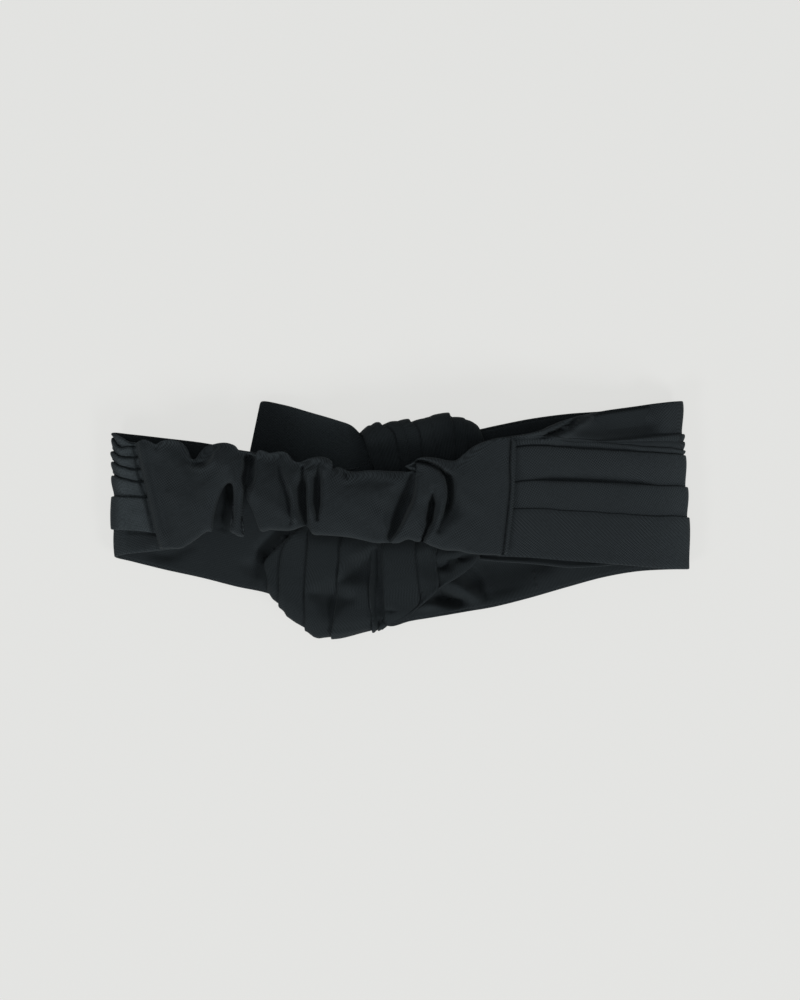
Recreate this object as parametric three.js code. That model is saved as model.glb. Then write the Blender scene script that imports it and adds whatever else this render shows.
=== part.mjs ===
// A knotted turban headband in black twill, lying flat on its knot.
//
// The wide knife-pleated band runs from one end of the elastic part, round both flattened ends
// of the loop and through the knot at the front, and a plain lining faces it on the inside. The
// ruched casing of the elastic closes the loop at the back. A pleated strip is wound round the
// front of the band as the knot, and a plain tail stands out of it.
//
// Millimetres. X runs along the flattened loop, Y across the width of the band, and Z up. The
// front of the headband faces down, the elastic back lies on top, and the head goes in along Y.

import * as THREE from "three";

// Driving dimensions
const PLEAT_FOOT = 1.3; // thickness of a pleated wall where a pleat is tucked under the next
const PLEAT_CREST = 2.6; // and at its folded edge, which lies on top
const PLEAT_STEP = 0.07; // width of the step between two pleats, as a share of a pleat
const LINING = 1.0; // thickness of the lining
const LINING_GAP = 0.6; // clearance between the lining and the pleats
const LINING_INSET = 0.25; // how far the lining stays inside the band's edges, in pleats
const KNOT_EDGE = 0.45; // fullness of the knot's two edge pleats, as a share of its middle ones
const CASING_ROUND = 0.45; // how round the casing is in section: 0.5 is an ellipse, less is fuller
const CASING_EDGE = 0.02; // and how blunt it is at its two edges
const CASING_LEAST = 0.6; // half the thickness of the casing where it is flattest
const FOLD_FADE = 0.15; // how gently a fold of the casing ends, as a share of its width
const TAIL = 2.4; // thickness of the folded tail

const STEPS = 2; // rows of points from one section of a wall to the next
const CASING_STEPS = 3; // and of the casing
const CASING_ACROSS = 9; // rows of faces across the casing
const TAIL_ACROSS = 6; // and across the tail

const { lerp, clamp, smoothstep } = THREE.MathUtils;

// ---------------------------------------------------------------------------------------------
// Tables
// ---------------------------------------------------------------------------------------------

// The band, a row for each section, from the left end of the elastic part round to its right end.
// x and z place the inner face, low and high are the band's two edges, lean is how far the high
// edge lies ahead of the low one along x, and fan says which column of PLEATS holds there.
const BAND = [
  { x: -94.8, z: 15.2, low: -11.4, high: 31.9, lean: -11.6, fan: 0 },
  { x: -103, z: 12.6, low: -12.8, high: 33.2, lean: -9, fan: 0.35 },
  { x: -111, z: 10.2, low: -13.8, high: 34.6, lean: -3, fan: 0.75 },
  { x: -117.3, z: 6.6, low: -14.8, high: 35.6, lean: 0, fan: 1 },
  { x: -111.5, z: 3.1, low: -16.8, high: 35.6, lean: 0, fan: 1.15 },
  { x: -98, z: 3.1, low: -20.0, high: 33.7, lean: 0, fan: 1.35 },
  { x: -82, z: 5.2, low: -23.8, high: 31.4, lean: 0, fan: 1.55 },
  { x: -68, z: 9.4, low: -27.0, high: 29.4, lean: 0, fan: 1.7 },
  { x: -54, z: 13.2, low: -29.4, high: 27.8, lean: 0, fan: 1.85 },
  { x: -46, z: 14.8, low: -33.8, high: 27.6, lean: 0, fan: 2 },
  { x: -38, z: 15.7, low: -39.6, high: 27.8, lean: 0, fan: 2 },
  { x: -28, z: 16.4, low: -44.2, high: 29.2, lean: 0, fan: 2 },
  { x: -15, z: 16.8, low: -42.8, high: 32.2, lean: 0, fan: 2 },
  { x: -5, z: 16.8, low: -40.6, high: 35.4, lean: 0, fan: 2 },
  { x: 4, z: 16.8, low: -38.4, high: 36.4, lean: 0, fan: 2 },
  { x: 13, z: 16.6, low: -39.0, high: 37.0, lean: 0, fan: 2 },
  { x: 22, z: 16.2, low: -39.0, high: 36.2, lean: 0, fan: 2 },
  { x: 31, z: 15.4, low: -37.8, high: 33.6, lean: 0, fan: 2 },
  { x: 40, z: 14.4, low: -35.6, high: 38.6, lean: 0, fan: 2.05 },
  { x: 54, z: 11.8, low: -32.2, high: 41.6, lean: 0, fan: 2.2 },
  { x: 70, z: 7.8, low: -27.6, high: 44.2, lean: 0, fan: 2.45 },
  { x: 85, z: 4.6, low: -23.8, high: 45.8, lean: 0, fan: 2.65 },
  { x: 99, z: 3.1, low: -21.4, high: 47.4, lean: 0, fan: 2.8 },
  { x: 111.5, z: 3.1, low: -20.6, high: 48.8, lean: 0, fan: 2.95 },
  { x: 117.3, z: 6.6, low: -20.5, high: 49.0, lean: 0, fan: 3 },
  { x: 111, z: 10.6, low: -20.2, high: 48.8, lean: 0, fan: 3.1 },
  { x: 99, z: 14.6, low: -19.2, high: 46.8, lean: 0, fan: 3.25 },
  { x: 85, z: 19.4, low: -18.0, high: 43.6, lean: 0, fan: 3.45 },
  { x: 68, z: 24.8, low: -16.4, high: 38.8, lean: 0, fan: 3.7 },
  { x: 54, z: 28.6, low: -15.2, high: 34.6, lean: 0, fan: 3.9 },
  { x: 40, z: 31.6, low: -14.4, high: 33.0, lean: 0, fan: 4 },
];
const FRONT_ROWS = [4, 24]; // which rows of BAND are its front: the first, and the one after the last

// Where the edges of the pleats lie across the band, from its low edge at 0 to its high one at 1,
// at the left end of the elastic part, the left fold, the front, the right fold and the right end.
const PLEATS = [
  { leftEnd: 0, leftFold: 0, front: 0, rightFold: 0, rightEnd: 0 },
  { leftEnd: 0.14, leftFold: 0.23, front: 0.15, rightFold: 0.303, rightEnd: 0.4 },
  { leftEnd: 0.46, leftFold: 0.46, front: 0.3, rightFold: 0.486, rightEnd: 0.615 },
  { leftEnd: 0.61, leftFold: 0.64, front: 0.44, rightFold: 0.69, rightEnd: 0.895 },
  { leftEnd: 0.74, leftFold: 0.76, front: 0.58, rightFold: 0.73, rightEnd: 0.922 },
  { leftEnd: 0.85, leftFold: 0.86, front: 0.72, rightFold: 0.77, rightEnd: 0.948 },
  { leftEnd: 0.94, leftFold: 0.95, front: 0.86, rightFold: 0.81, rightEnd: 0.974 },
  { leftEnd: 1, leftFold: 1, front: 1, rightFold: 1, rightEnd: 1 },
];

// The edges of the knot's pleats, a row for each, left to right: where it crosses the inside of
// the band, turns under the band's low edge, crosses the front, and turns over the high edge.
const KNOT_PLEATS = [
  { inside: -54, lowX: -51.5, lowY: -34.2, front: -23, highX: -15.5, highY: 36.2 },
  { inside: -49, lowX: -48, lowY: -37.6, front: -17, highX: -11.5, highY: 38.0 },
  { inside: -38, lowX: -38.5, lowY: -44.4, front: -11, highX: -8, highY: 39.4 },
  { inside: -24, lowX: -28, lowY: -49.0, front: -5, highX: -1, highY: 40.2 },
  { inside: -11.5, lowX: -12.5, lowY: -46.8, front: 1, highX: 4.8, highY: 41.0 },
  { inside: -5.5, lowX: -6, lowY: -44.8, front: 6, highX: 12, highY: 42.0 },
  { inside: 6, lowX: -1, lowY: -43.6, front: 11, highX: 20, highY: 43.2 },
  { inside: 16, lowX: 2.6, lowY: -42.8, front: 16, highX: 27, highY: 41.0 },
  { inside: 32.5, lowX: 6, lowY: -42.2, front: 21, highX: 32.5, highY: 38.4 },
];

// The way round the knot, a row for each place: how far from the low turn to the high one it is,
// how far from the line of the turns towards the middle of the inside or the front, its height
// above the band's inner face, and how much the wound cloth adds there to the wall's thickness.
const KNOT_RING = [
  { rise: 0, middle: 0, side: "inside", lift: 0, swell: 0 },
  { rise: 0.035, middle: 0.1, side: "inside", lift: 2.2, swell: 0 },
  { rise: 0.13, middle: 0.55, side: "inside", lift: 2.2, swell: 0 },
  { rise: 0.33, middle: 1, side: "inside", lift: 2.2, swell: 0 },
  { rise: 0.55, middle: 0.72, side: "inside", lift: 2.2, swell: 0 },
  { rise: 0.78, middle: 0.3, side: "inside", lift: 2.2, swell: 0 },
  { rise: 0.965, middle: 0, side: "inside", lift: 2.2, swell: 0 },
  { rise: 1, middle: 0, side: "front", lift: -0.6, swell: 0 },
  { rise: 0.965, middle: 0.1, side: "front", lift: -5.0, swell: 1.2 },
  { rise: 0.82, middle: 0.5, side: "front", lift: -6.4, swell: 4.8 },
  { rise: 0.66, middle: 0.85, side: "front", lift: -6.6, swell: 6.8 },
  { rise: 0.5, middle: 1, side: "front", lift: -6.6, swell: 7.3 },
  { rise: 0.34, middle: 0.85, side: "front", lift: -6.4, swell: 6.9 },
  { rise: 0.18, middle: 0.5, side: "front", lift: -5.4, swell: 4.8 },
  { rise: 0.035, middle: 0.1, side: "front", lift: -3.8, swell: 1.2 },
];

// The elastic casing, a row for each section, left to right: its two edges, the height of its
// middle and how far it puffs out above and below that. lean is as in BAND.
const CASING = [
  { x: -102.8, lean: -11.6, low: -12.2, high: 32.3, z: 17.0, top: 0.8, under: 0.7 },
  { x: -93.5, lean: -11.6, low: -11.8, high: 32.4, z: 20.2, top: 1.2, under: 0.8 },
  { x: -88.5, lean: -7, low: -10.8, high: 31.4, z: 22.2, top: 3.4, under: 3.0 },
  { x: -85, lean: -3, low: -8.8, high: 25.2, z: 23.4, top: 4.2, under: 3.6 },
  { x: -81.5, lean: 0, low: -5.6, high: 27.6, z: 24.8, top: 4.6, under: 4.0 },
  { x: -77.5, lean: 0, low: -4.2, high: 30.8, z: 26.2, top: 4.4, under: 4.2 },
  { x: -74, lean: 0, low: 10.0, high: 31.7, z: 27.4, top: 3.8, under: 3.8 },
  { x: -70.6, lean: 0, low: 15.4, high: 31.6, z: 28.6, top: 3.6, under: 3.4 },
  { x: -68, lean: 0, low: -4.2, high: 30.6, z: 29.4, top: 4.4, under: 3.8 },
  { x: -65.2, lean: 0, low: -7.0, high: 28.4, z: 30.2, top: 4.0, under: 4.0 },
  { x: -62, lean: 0, low: 8.6, high: 27.6, z: 30.8, top: 2.4, under: 2.6 },
  { x: -59, lean: 0, low: -1.8, high: 27.6, z: 31.4, top: 4.2, under: 3.6 },
  { x: -54, lean: 0, low: -5.0, high: 28.0, z: 32.2, top: 5.4, under: 4.4 },
  { x: -47, lean: 0, low: -4.6, high: 27.6, z: 33.2, top: 5.0, under: 4.6 },
  { x: -42, lean: 0, low: -3.4, high: 24.8, z: 33.8, top: 3.8, under: 4.0 },
  { x: -38.6, lean: 0, low: -3.2, high: 25.0, z: 34.1, top: 2.0, under: 2.4 },
  { x: -35.8, lean: 0, low: -4.4, high: 25.8, z: 34.2, top: 4.6, under: 4.0 },
  { x: -30, lean: 0, low: -6.2, high: 25.4, z: 34.4, top: 4.4, under: 4.2 },
  { x: -26, lean: 0, low: -6.6, high: 21.4, z: 34.4, top: 5.2, under: 4.6 },
  { x: -16, lean: 0, low: -8.8, high: 20.4, z: 34.6, top: 5.4, under: 5.0 },
  { x: -5, lean: 3, low: -9.0, high: 20.0, z: 34.6, top: 5.0, under: 5.0 },
  { x: 1, lean: 8, low: -8.8, high: 19.8, z: 34.6, top: 4.0, under: 3.4 },
  { x: 6.4, lean: 9, low: -9.0, high: 24.0, z: 34.6, top: 5.2, under: 4.4 },
  { x: 11.5, lean: 4, low: -11.2, high: 25.7, z: 34.6, top: 4.6, under: 4.4 },
  { x: 17, lean: 2, low: -12.8, high: 24.8, z: 34.7, top: 4.8, under: 4.2 },
  { x: 23, lean: 0, low: -13.6, high: 25.0, z: 34.9, top: 4.0, under: 4.2 },
  { x: 29, lean: 0, low: -14.4, high: 28.8, z: 35.3, top: 3.0, under: 3.4 },
  { x: 35, lean: 0, low: -15.8, high: 31.9, z: 35.8, top: 1.8, under: 1.2 },
  { x: 41, lean: 1, low: -15.9, high: 33.4, z: 35.5, top: 1.1, under: 0.7 },
  { x: 46.5, lean: 1.6, low: -14.9, high: 33.0, z: 34.0, top: 0.9, under: 0.7 },
];

// The valleys between the puffs of the casing, left to right. x is at the middle of the casing's
// width, lean is as above, and from and to are shares of the width, with the low edge at 0.
const CASING_FOLDS = [
  { x: -96, lean: -4, from: 0.6, to: 1, wide: 4, deep: 1.2 },
  { x: -86, lean: 0, from: 0.68, to: 1, wide: 3.4, deep: 2.4 },
  { x: -62.2, lean: 0, from: 0.3, to: 1, wide: 2, deep: 3.4 },
  { x: -46.6, lean: -5, from: 0.2, to: 1, wide: 1.6, deep: 1.6 },
  { x: -38.8, lean: -1, from: 0, to: 1, wide: 1.6, deep: 1.8 },
  { x: -33.2, lean: 0.5, from: 0.4, to: 1, wide: 1.6, deep: 2.6 },
  { x: 1, lean: 9, from: 0, to: 0.8, wide: 2.4, deep: 3.6 },
  { x: 13.2, lean: 5, from: 0.1, to: 0.6, wide: 1.6, deep: 3.4 },
  { x: 19, lean: 0, from: 0.3, to: 0.8, wide: 2.4, deep: 1.8 },
];

// The tail, a row for each section from its free end to its root inside the knot. The root is
// gathered, and both corners of the free end are a little rounded. lean is as in BAND.
const TAIL_SECTIONS = [
  { x: -60.6, lean: 8, low: 6.4, high: 47.6, z: 2.9 },
  { x: -59.2, lean: 8, low: 5.2, high: 48.6, z: 3.2 },
  { x: -50, lean: 4, low: 5.4, high: 46.8, z: 5.4 },
  { x: -38, lean: 1, low: 6.5, high: 43.6, z: 8.4 },
  { x: -26, lean: 0, low: 9, high: 38, z: 11.0 },
  { x: -20, lean: 0, low: 11.5, high: 29, z: 12.3 },
  { x: -12, lean: 0, low: 13, high: 25.5, z: 12.7 },
  { x: 8, lean: 0, low: 14, high: 25, z: 12.7 },
];

// ---------------------------------------------------------------------------------------------
// Geometry helpers
// ---------------------------------------------------------------------------------------------

// One column of a table, read at any row number without overshooting the rows on either side.
function column(rows, name) {
  const step = (i) => rows[i + 1][name] - rows[i][name];
  const slope = (i) => {
    if (i === 0 || i === rows.length - 1) return 0;
    const [before, after] = [step(i - 1), step(i)];
    return before * after > 0 ? (2 * before * after) / (before + after) : 0;
  };
  return (u) => {
    const i = clamp(Math.floor(u), 0, rows.length - 2);
    const t = u - i;
    const bend = t * (1 - t);
    const straight = rows[i][name] + step(i) * t * t * (3 - 2 * t);
    return straight + bend * ((1 - t) * slope(i) - t * slope(i + 1));
  };
}

// The same for all the columns of a table.
function allColumns(rows) {
  return Object.fromEntries(Object.keys(rows[0]).map((name) => [name, column(rows, name)]));
}

// Points along each of several lines, evenly spread between the points that each goes through.
function followLines(lines, closed, steps) {
  const spans = closed ? lines[0].length : lines[0].length - 1;
  const curves = lines.map((line) => new THREE.CatmullRomCurve3(line, closed, "centripetal"));
  const count = spans * steps + (closed ? 0 : 1);
  const row = (u) => curves.map((curve) => curve.getPoint(u));
  return Array.from({ length: count }, (_, i) => row(i / (spans * steps)));
}

// The direction out of a strip at each of its points: across it, times along it.
function outwardNormals(points, closed) {
  const last = points.length - 1;
  return points.map((row, s) => {
    const ahead = points[closed ? (s + 1) % points.length : Math.min(s + 1, last)];
    const behind = points[closed ? (s + last) % points.length : Math.max(s - 1, 0)];
    const across = row[row.length - 1].clone().sub(row[0]);
    return row.map((_, i) => across.clone().cross(ahead[i].clone().sub(behind[i])).normalize());
  });
}

// A closed body between two grids of points that lie face to face. closed joins the last row of
// each grid to the first one.
function bodyBetween(outer, inner, closed) {
  const [rows, columns] = [outer.length, outer[0].length];
  const position = [...outer, ...inner].flat().flatMap((p) => p.toArray());
  const index = [];
  const quad = (a, b, c, d) => index.push(a, b, c, a, c, d);
  const top = (s, i) => (s % rows) * columns + i;
  const under = (s, i) => rows * columns + top(s, i);
  const edge = columns - 1;
  for (let s = 0; s < (closed ? rows : rows - 1); s++) {
    for (let i = 0; i < edge; i++) {
      quad(top(s, i), top(s, i + 1), top(s + 1, i + 1), top(s + 1, i));
      quad(under(s, i), under(s + 1, i), under(s + 1, i + 1), under(s, i + 1));
    }
    quad(top(s, 0), top(s + 1, 0), under(s + 1, 0), under(s, 0));
    quad(top(s + 1, edge), top(s, edge), under(s, edge), under(s + 1, edge));
  }
  for (let i = 0; i < edge && !closed; i++) {
    quad(top(0, i + 1), top(0, i), under(0, i), under(0, i + 1));
    quad(top(rows - 1, i), top(rows - 1, i + 1), under(rows - 1, i + 1), under(rows - 1, i));
  }
  const geometry = new THREE.BufferGeometry();
  geometry.setAttribute("position", new THREE.Float32BufferAttribute(position, 3));
  geometry.setIndex(index);
  geometry.computeVertexNormals();
  return geometry;
}

// A wall that follows a set of lines. Each of its columns says at which line it lies, counted
// from the first one, and how far its outer and inner faces stand out from the lines there.
// swell(u, across) adds to the outer face, u rows along and at a share of the way across.
function wallAlong(lines, columns, { closed = false, swell = () => 0 } = {}) {
  const points = followLines(lines, closed, STEPS);
  const normals = outwardNormals(points, closed);
  const last = lines.length - 1;
  const face = (out) =>
    points.map((row, s) =>
      columns.map((place) => {
        const i = Math.min(Math.floor(place.at), last - 1);
        const share = place.at - i;
        const normal = normals[s][i].clone().lerp(normals[s][i + 1], share).normalize();
        return row[i].clone().lerp(row[i + 1], share).addScaledVector(normal, out(place, s / STEPS));
      }),
    );
  const outer = face((place, u) => place.outer + swell(u, place.at / last));
  const inner = face((place) => place.inner);
  return bodyBetween(outer, inner, closed);
}

// The columns of a knife-pleated wall: each pleat rises from its tucked foot to its folded crest.
function pleatColumns(pleats) {
  return Array.from({ length: pleats }, (_, i) => [
    { at: i + (i ? PLEAT_STEP : 0), outer: PLEAT_FOOT, inner: 0 },
    { at: i + 1, outer: PLEAT_CREST, inner: 0 },
  ]).flat();
}

// A flattened bag of cloth between a low and a high edge, with a row of points along x for each
// place. shape(u, v) gives a point of its middle and how far it swells above and below it.
function flatBag(shape, sections, points) {
  const face = (side) =>
    Array.from({ length: sections + 1 }, (_, s) =>
      Array.from({ length: points + 1 }, (_, i) => {
        const { at, top, under } = shape(s / sections, i / points);
        return at.clone().setZ(at.z + (side === "top" ? top : -under));
      }),
    );
  return bodyBetween(face("under"), face("top"), false);
}

// ---------------------------------------------------------------------------------------------
// Pieces
// ---------------------------------------------------------------------------------------------

const CLOTH = { roughness: 0.82, metalness: 0 };
const blackTwill = { ...CLOTH, name: "black twill", color: 0x1d2124 };
const liningTwill = { ...CLOTH, name: "lining twill", color: 0x1a1d20 };

function piece(name, geometry, cloth) {
  const mesh = new THREE.Mesh(geometry, new THREE.MeshStandardMaterial(cloth));
  mesh.name = name;
  return mesh;
}

// The line of each pleat's edge round the band.
function bandLines() {
  const places = Object.keys(PLEATS[0]);
  return PLEATS.map((edge) =>
    BAND.map((section) => {
      const i = Math.min(Math.floor(section.fan), places.length - 2);
      const share = lerp(edge[places[i]], edge[places[i + 1]], section.fan - i);
      const y = lerp(section.low, section.high, share);
      return new THREE.Vector3(section.x + section.lean * (share - 0.5), y, section.z);
    }),
  );
}

function pleatedBand() {
  return wallAlong(bandLines(), pleatColumns(PLEATS.length - 1));
}

function bandLining() {
  const last = PLEATS.length - 1;
  const places = [LINING_INSET, 1, 2, 3, 5, last - LINING_INSET];
  const columns = places.map((at) => ({ at, outer: -LINING_GAP, inner: -LINING_GAP - LINING }));
  return wallAlong(bandLines(), columns);
}

// The height of the inner face of the band's front at a place along it.
function frontHeight(x) {
  const front = BAND.slice(...FRONT_ROWS);
  const i = clamp(front.findIndex((section) => section.x > x) - 1, 0, front.length - 2);
  return lerp(front[i].z, front[i + 1].z, (x - front[i].x) / (front[i + 1].x - front[i].x));
}

// The line of each pleat's edge round the knot. It starts at the turn under the band's low edge.
function knotLines() {
  return KNOT_PLEATS.map((edge) =>
    KNOT_RING.map((place) => {
      const x = lerp(lerp(edge.lowX, edge.highX, place.rise), edge[place.side], place.middle);
      const y = lerp(edge.lowY + PLEAT_CREST, edge.highY - PLEAT_CREST, place.rise);
      return new THREE.Vector3(x, y, frontHeight(x) + place.lift);
    }),
  );
}

function knotWrap() {
  const swellRound = column([...KNOT_RING, KNOT_RING[0]], "swell");
  const swell = (u, across) => swellRound(u) * lerp(1, KNOT_EDGE, (2 * across - 1) ** 4);
  return wallAlong(knotLines(), pleatColumns(KNOT_PLEATS.length - 1), { closed: true, swell });
}

// The casing is a flat tube of cloth round the elastic, drawn up into puffs by it.
function elasticCasing() {
  const read = allColumns(CASING);
  const last = CASING.length - 1;
  const within = (v, { from, to }) =>
    smoothstep(v, from - FOLD_FADE, from + FOLD_FADE) * (1 - smoothstep(v, to - FOLD_FADE, to + FOLD_FADE));
  const valley = (x, v) =>
    CASING_FOLDS.reduce((sum, fold) => {
      const off = (x - fold.x - fold.lean * (v - 0.5)) / fold.wide;
      return sum + fold.deep * within(v, fold) * Math.exp(-off * off);
    }, 0);
  const shape = (s, v) => {
    const u = s * last;
    const x = read.x(u) + read.lean(u) * (v - 0.5);
    const round = (4 * v * (1 - v) + CASING_EDGE) ** CASING_ROUND;
    return {
      at: new THREE.Vector3(x, lerp(read.low(u), read.high(u), v), read.z(u)),
      top: Math.max(CASING_LEAST, read.top(u) * round - valley(x, v)),
      under: Math.max(CASING_LEAST, read.under(u) * round - valley(x, v) / 2),
    };
  };
  return flatBag(shape, last * CASING_STEPS, CASING_ACROSS);
}

function knotTail() {
  const read = allColumns(TAIL_SECTIONS);
  const last = TAIL_SECTIONS.length - 1;
  const shape = (s, v) => {
    const u = s * last;
    const x = read.x(u) + read.lean(u) * (v - 0.5);
    const at = new THREE.Vector3(x, lerp(read.low(u), read.high(u), v), read.z(u));
    return { at, top: TAIL / 2, under: TAIL / 2 };
  };
  return flatBag(shape, last * STEPS, TAIL_ACROSS);
}

const headband = new THREE.Group();
headband.name = "turban_headband";
headband.add(
  piece("pleated_band", pleatedBand(), blackTwill),
  piece("band_lining", bandLining(), liningTwill),
  piece("elastic_casing", elasticCasing(), blackTwill),
  piece("knot_wrap", knotWrap(), blackTwill),
  piece("knot_tail", knotTail(), blackTwill),
);

export default headband;
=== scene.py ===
"""A knotted turban headband in black twill, lying flat on its knot, laid out as a Blender add-on.

Every piece but the stitches is a sheet of cloth made in mesh code, with a UV map in metres that
follows the cloth, so that the twill runs along it. The tables below are in millimetres, in the
frame of the CAD model: X along the flattened loop, Y across the width of the band, and Z up. The
front of the headband faces down, and the elastic back lies on top.
"""

import math

import bpy
import numpy as np
from mathutils import Matrix, Vector


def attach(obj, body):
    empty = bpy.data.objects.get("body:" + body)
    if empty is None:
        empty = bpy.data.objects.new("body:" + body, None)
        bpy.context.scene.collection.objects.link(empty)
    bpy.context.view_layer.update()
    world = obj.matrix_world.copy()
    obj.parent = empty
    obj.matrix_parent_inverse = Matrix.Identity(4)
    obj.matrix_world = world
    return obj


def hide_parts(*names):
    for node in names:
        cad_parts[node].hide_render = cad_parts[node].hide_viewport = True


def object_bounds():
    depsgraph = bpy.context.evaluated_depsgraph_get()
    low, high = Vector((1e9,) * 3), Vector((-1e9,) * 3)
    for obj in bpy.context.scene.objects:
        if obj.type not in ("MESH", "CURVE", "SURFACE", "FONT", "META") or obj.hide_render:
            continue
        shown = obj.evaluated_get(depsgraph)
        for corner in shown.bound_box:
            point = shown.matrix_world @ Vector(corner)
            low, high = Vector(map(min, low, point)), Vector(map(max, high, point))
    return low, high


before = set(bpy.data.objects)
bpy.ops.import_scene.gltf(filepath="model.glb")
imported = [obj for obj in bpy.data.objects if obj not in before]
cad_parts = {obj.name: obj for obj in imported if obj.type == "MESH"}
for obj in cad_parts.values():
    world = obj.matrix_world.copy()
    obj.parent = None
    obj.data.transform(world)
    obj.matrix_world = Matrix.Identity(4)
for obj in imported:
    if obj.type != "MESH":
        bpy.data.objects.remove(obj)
CAD_BOX = [list(corner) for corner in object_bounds()]

bl_info = {
    "name": "Turban headband",
    "version": (1, 0, 0),
    "blender": (4, 5, 0),
    "location": "3D Viewport > Sidebar > Headband",
    "description": "Builds a knotted turban headband in black twill, lying flat on its knot",
    "category": "Add Mesh",
}

MM = 0.001
FLOOR_GAP = 0.3  # millimetres that the lowest cloth keeps over the floor
LEAST_WIDTH = 0.3  # millimetres that a pleat is taken to be wide at least

# ---------------------------------------------------------------------------------------------
# Tables, in millimetres
# ---------------------------------------------------------------------------------------------

# The band, a row for each section, from the left end of the elastic part round to its right end:
# x and z of its inner face, its low and high edge, how far the high edge lies ahead of the low
# one, and which column of PLEATS holds there.
BAND = [
    (-94.8, 15.0, -11.4, 30.9, -11.6, 0), (-103, 12.4, -12.5, 31.5, -9, 0.4),
    (-110, 10.3, -13.6, 32.4, -3.5, 1), (-114.4, 9.0, -14.2, 34.4, -1, 2),
    (-117.3, 6.2, -15.5, 35.8, 0, 3), (-111.5, 3.1, -17.2, 35.2, 0, 3.15),
    (-98, 3.1, -20.6, 33.6, 0, 3.35), (-82, 5.2, -24.1, 31.6, 0, 3.55),
    (-68, 9.4, -27.6, 28.8, 0, 3.7), (-54, 13.2, -30.6, 26.6, 0, 3.85),
    (-46, 14.8, -34.6, 24.6, 0, 4), (-38, 15.7, -39.8, 22.4, 0, 4),
    (-28, 16.4, -44.2, 20.6, 0, 4), (-15, 16.8, -43.4, 22.4, 0, 4),
    (-8.5, 16.8, -42.6, 29, 0, 4), (-3.6, 16.8, -44.0, 35.6, 0, 4),
    (4, 16.8, -41.9, 36.6, 0, 4), (13, 16.6, -40.4, 37, 0, 4),
    (22, 16.2, -38.9, 36.8, 0, 4), (31, 15.4, -37.4, 36.8, 0, 4),
    (40, 14.4, -35.8, 38.6, 0, 4.05), (54, 11.8, -32.3, 41.4, 0, 4.2),
    (70, 7.8, -27.8, 43.6, 0, 4.45), (85, 4.6, -23.8, 44.8, 0, 4.65),
    (99, 3.1, -21.4, 46.6, 0, 4.8), (111.6, 3.1, -20.6, 48.4, -2, 4.95),
    (117.3, 6.6, -20.5, 48.8, -4.2, 5), (111.2, 10.6, -20.2, 48.4, -2, 5.2),
    (99, 14.6, -19.2, 46.6, 0, 5.55), (85, 19.4, -17.9, 44.5, 0, 6),
    (68, 24.8, -16.6, 40.8, 0, 6.38), (54, 28.6, -15.4, 35.6, 0, 7),
    (40, 31.5, -14.8, 33.2, 0, 7),
]
LINING_END = (33, 32.4, -14.4, 33, 0, 7)  # the lining runs a little further into the casing
FRONT_ROWS = (5, 26)  # the rows of BAND that make its front
# The drawn folds of the band's back show up to a row of BAND and from another row on, and those
# of its front between two rows. They come up over so many rows.
LEFT_BACK_END, FRONT_START, FRONT_END, RIGHT_BACK_START = 3.4, 5.2, 25.6, 27
FOLD_CHANGE = 0.6
# At the low edge of its front only this share of the folds is left. Between these two distances
# in from that edge it grows to all of them.
FRONT_EDGE_SHARE, FRONT_EDGE = 0.3, (0.5, 5.5)

# Where the folds of the pleats lie across the band, as shares of its width: at the left end, on
# the way to the left fold, near it, at it, on the front, at the right fold, and on the way to
# the right end.
PLEATS = [
    (0, 0, 0, 0, 0, 0, 0, 0),
    (0.142, 0.196, 0.206, 0.226, 0.15, 0.303, 0.327, 0.39),
    (0.477, 0.489, 0.477, 0.48, 0.3, 0.484, 0.529, 0.61),
    (0.623, 0.639, 0.64, 0.647, 0.44, 0.675, 0.743, 0.896),
    (0.753, 0.746, 0.741, 0.764, 0.58, 0.706, 0.79, 0.955),
    (0.875, 0.852, 0.823, 0.85, 0.72, 0.757, 0.802, 0.968),
    (0.966, 0.944, 0.901, 0.963, 0.86, 0.801, 0.81, 0.98),
    (1, 1, 1, 1, 1, 1, 1, 1),
]
# How far the six folds between them turn over, by row of BAND: -1 is all the way towards the low
# edge, 1 all the way towards the high edge, and near 0 the fold fades out.
FOLD_TURNS = [
    (0, -1, 1, 1, 1, 1, 1), (4.6, -1, 1, 1, 1, 1, 1), (6.5, 1, 1, 1, 1, 1, 1),
    (25.6, 1, 1, 1, 1, 1, 1), (26.4, 0.7, 0.8, 1, 0.6, 0.1, 0.9),
    (28, 0.55, 0.8, 1, 0.5, 0.08, 0.8), (28.7, 0.5, 0.85, 1, 0.45, 0.08, 0.45),
    (29.2, 0.5, 0.9, 1, 0.4, 0.08, 0.1), (32, 0.5, 0.7, 1, 0.3, 0.08, 0.08),
]
# Painted sheen on the outer cloth, by row of BAND: its two turns are painted lighter, for the light
# they catch from the sides.
BAND_SHEEN_PAINT = [
    (0, 0.4), (0.6, 0.6), (1.6, 0.85), (3, 1), (3.5, 0.3), (4, 0), (24.6, 0), (25.4, 0.35),
    (26, 0.5), (27, 0.25), (27.6, 0.1), (29, 0), (32, 0),
]
# How that painted sheen changes across the pleats: the rows of BAND for which it does, the line of
# PLEATS from which it changes, over how many lines, and what is left of it before and after.
SHEEN_PAINT_CHANGES = [((0, 3.3), 0.9, 0.2, 0.3, 1), ((24, 33), 3.6, 1.4, 1, 0.2)]
# How much higher the folds stand than the pleats' fold height, by row of BAND.
FOLD_RISE = [(0, 0), (0.4, 0.1), (1, 0.4), (1.8, 0.5), (3, 0.5), (3.6, 0), (32, 0)]
# How far the lining shows past the low edge of the band's back, by x.
LINING_PROUD = [(33, 2.8), (40, 3.2), (55, 3.6), (70, 4.0), (80, 2.8), (90, 1.2), (98, 0)]

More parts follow.
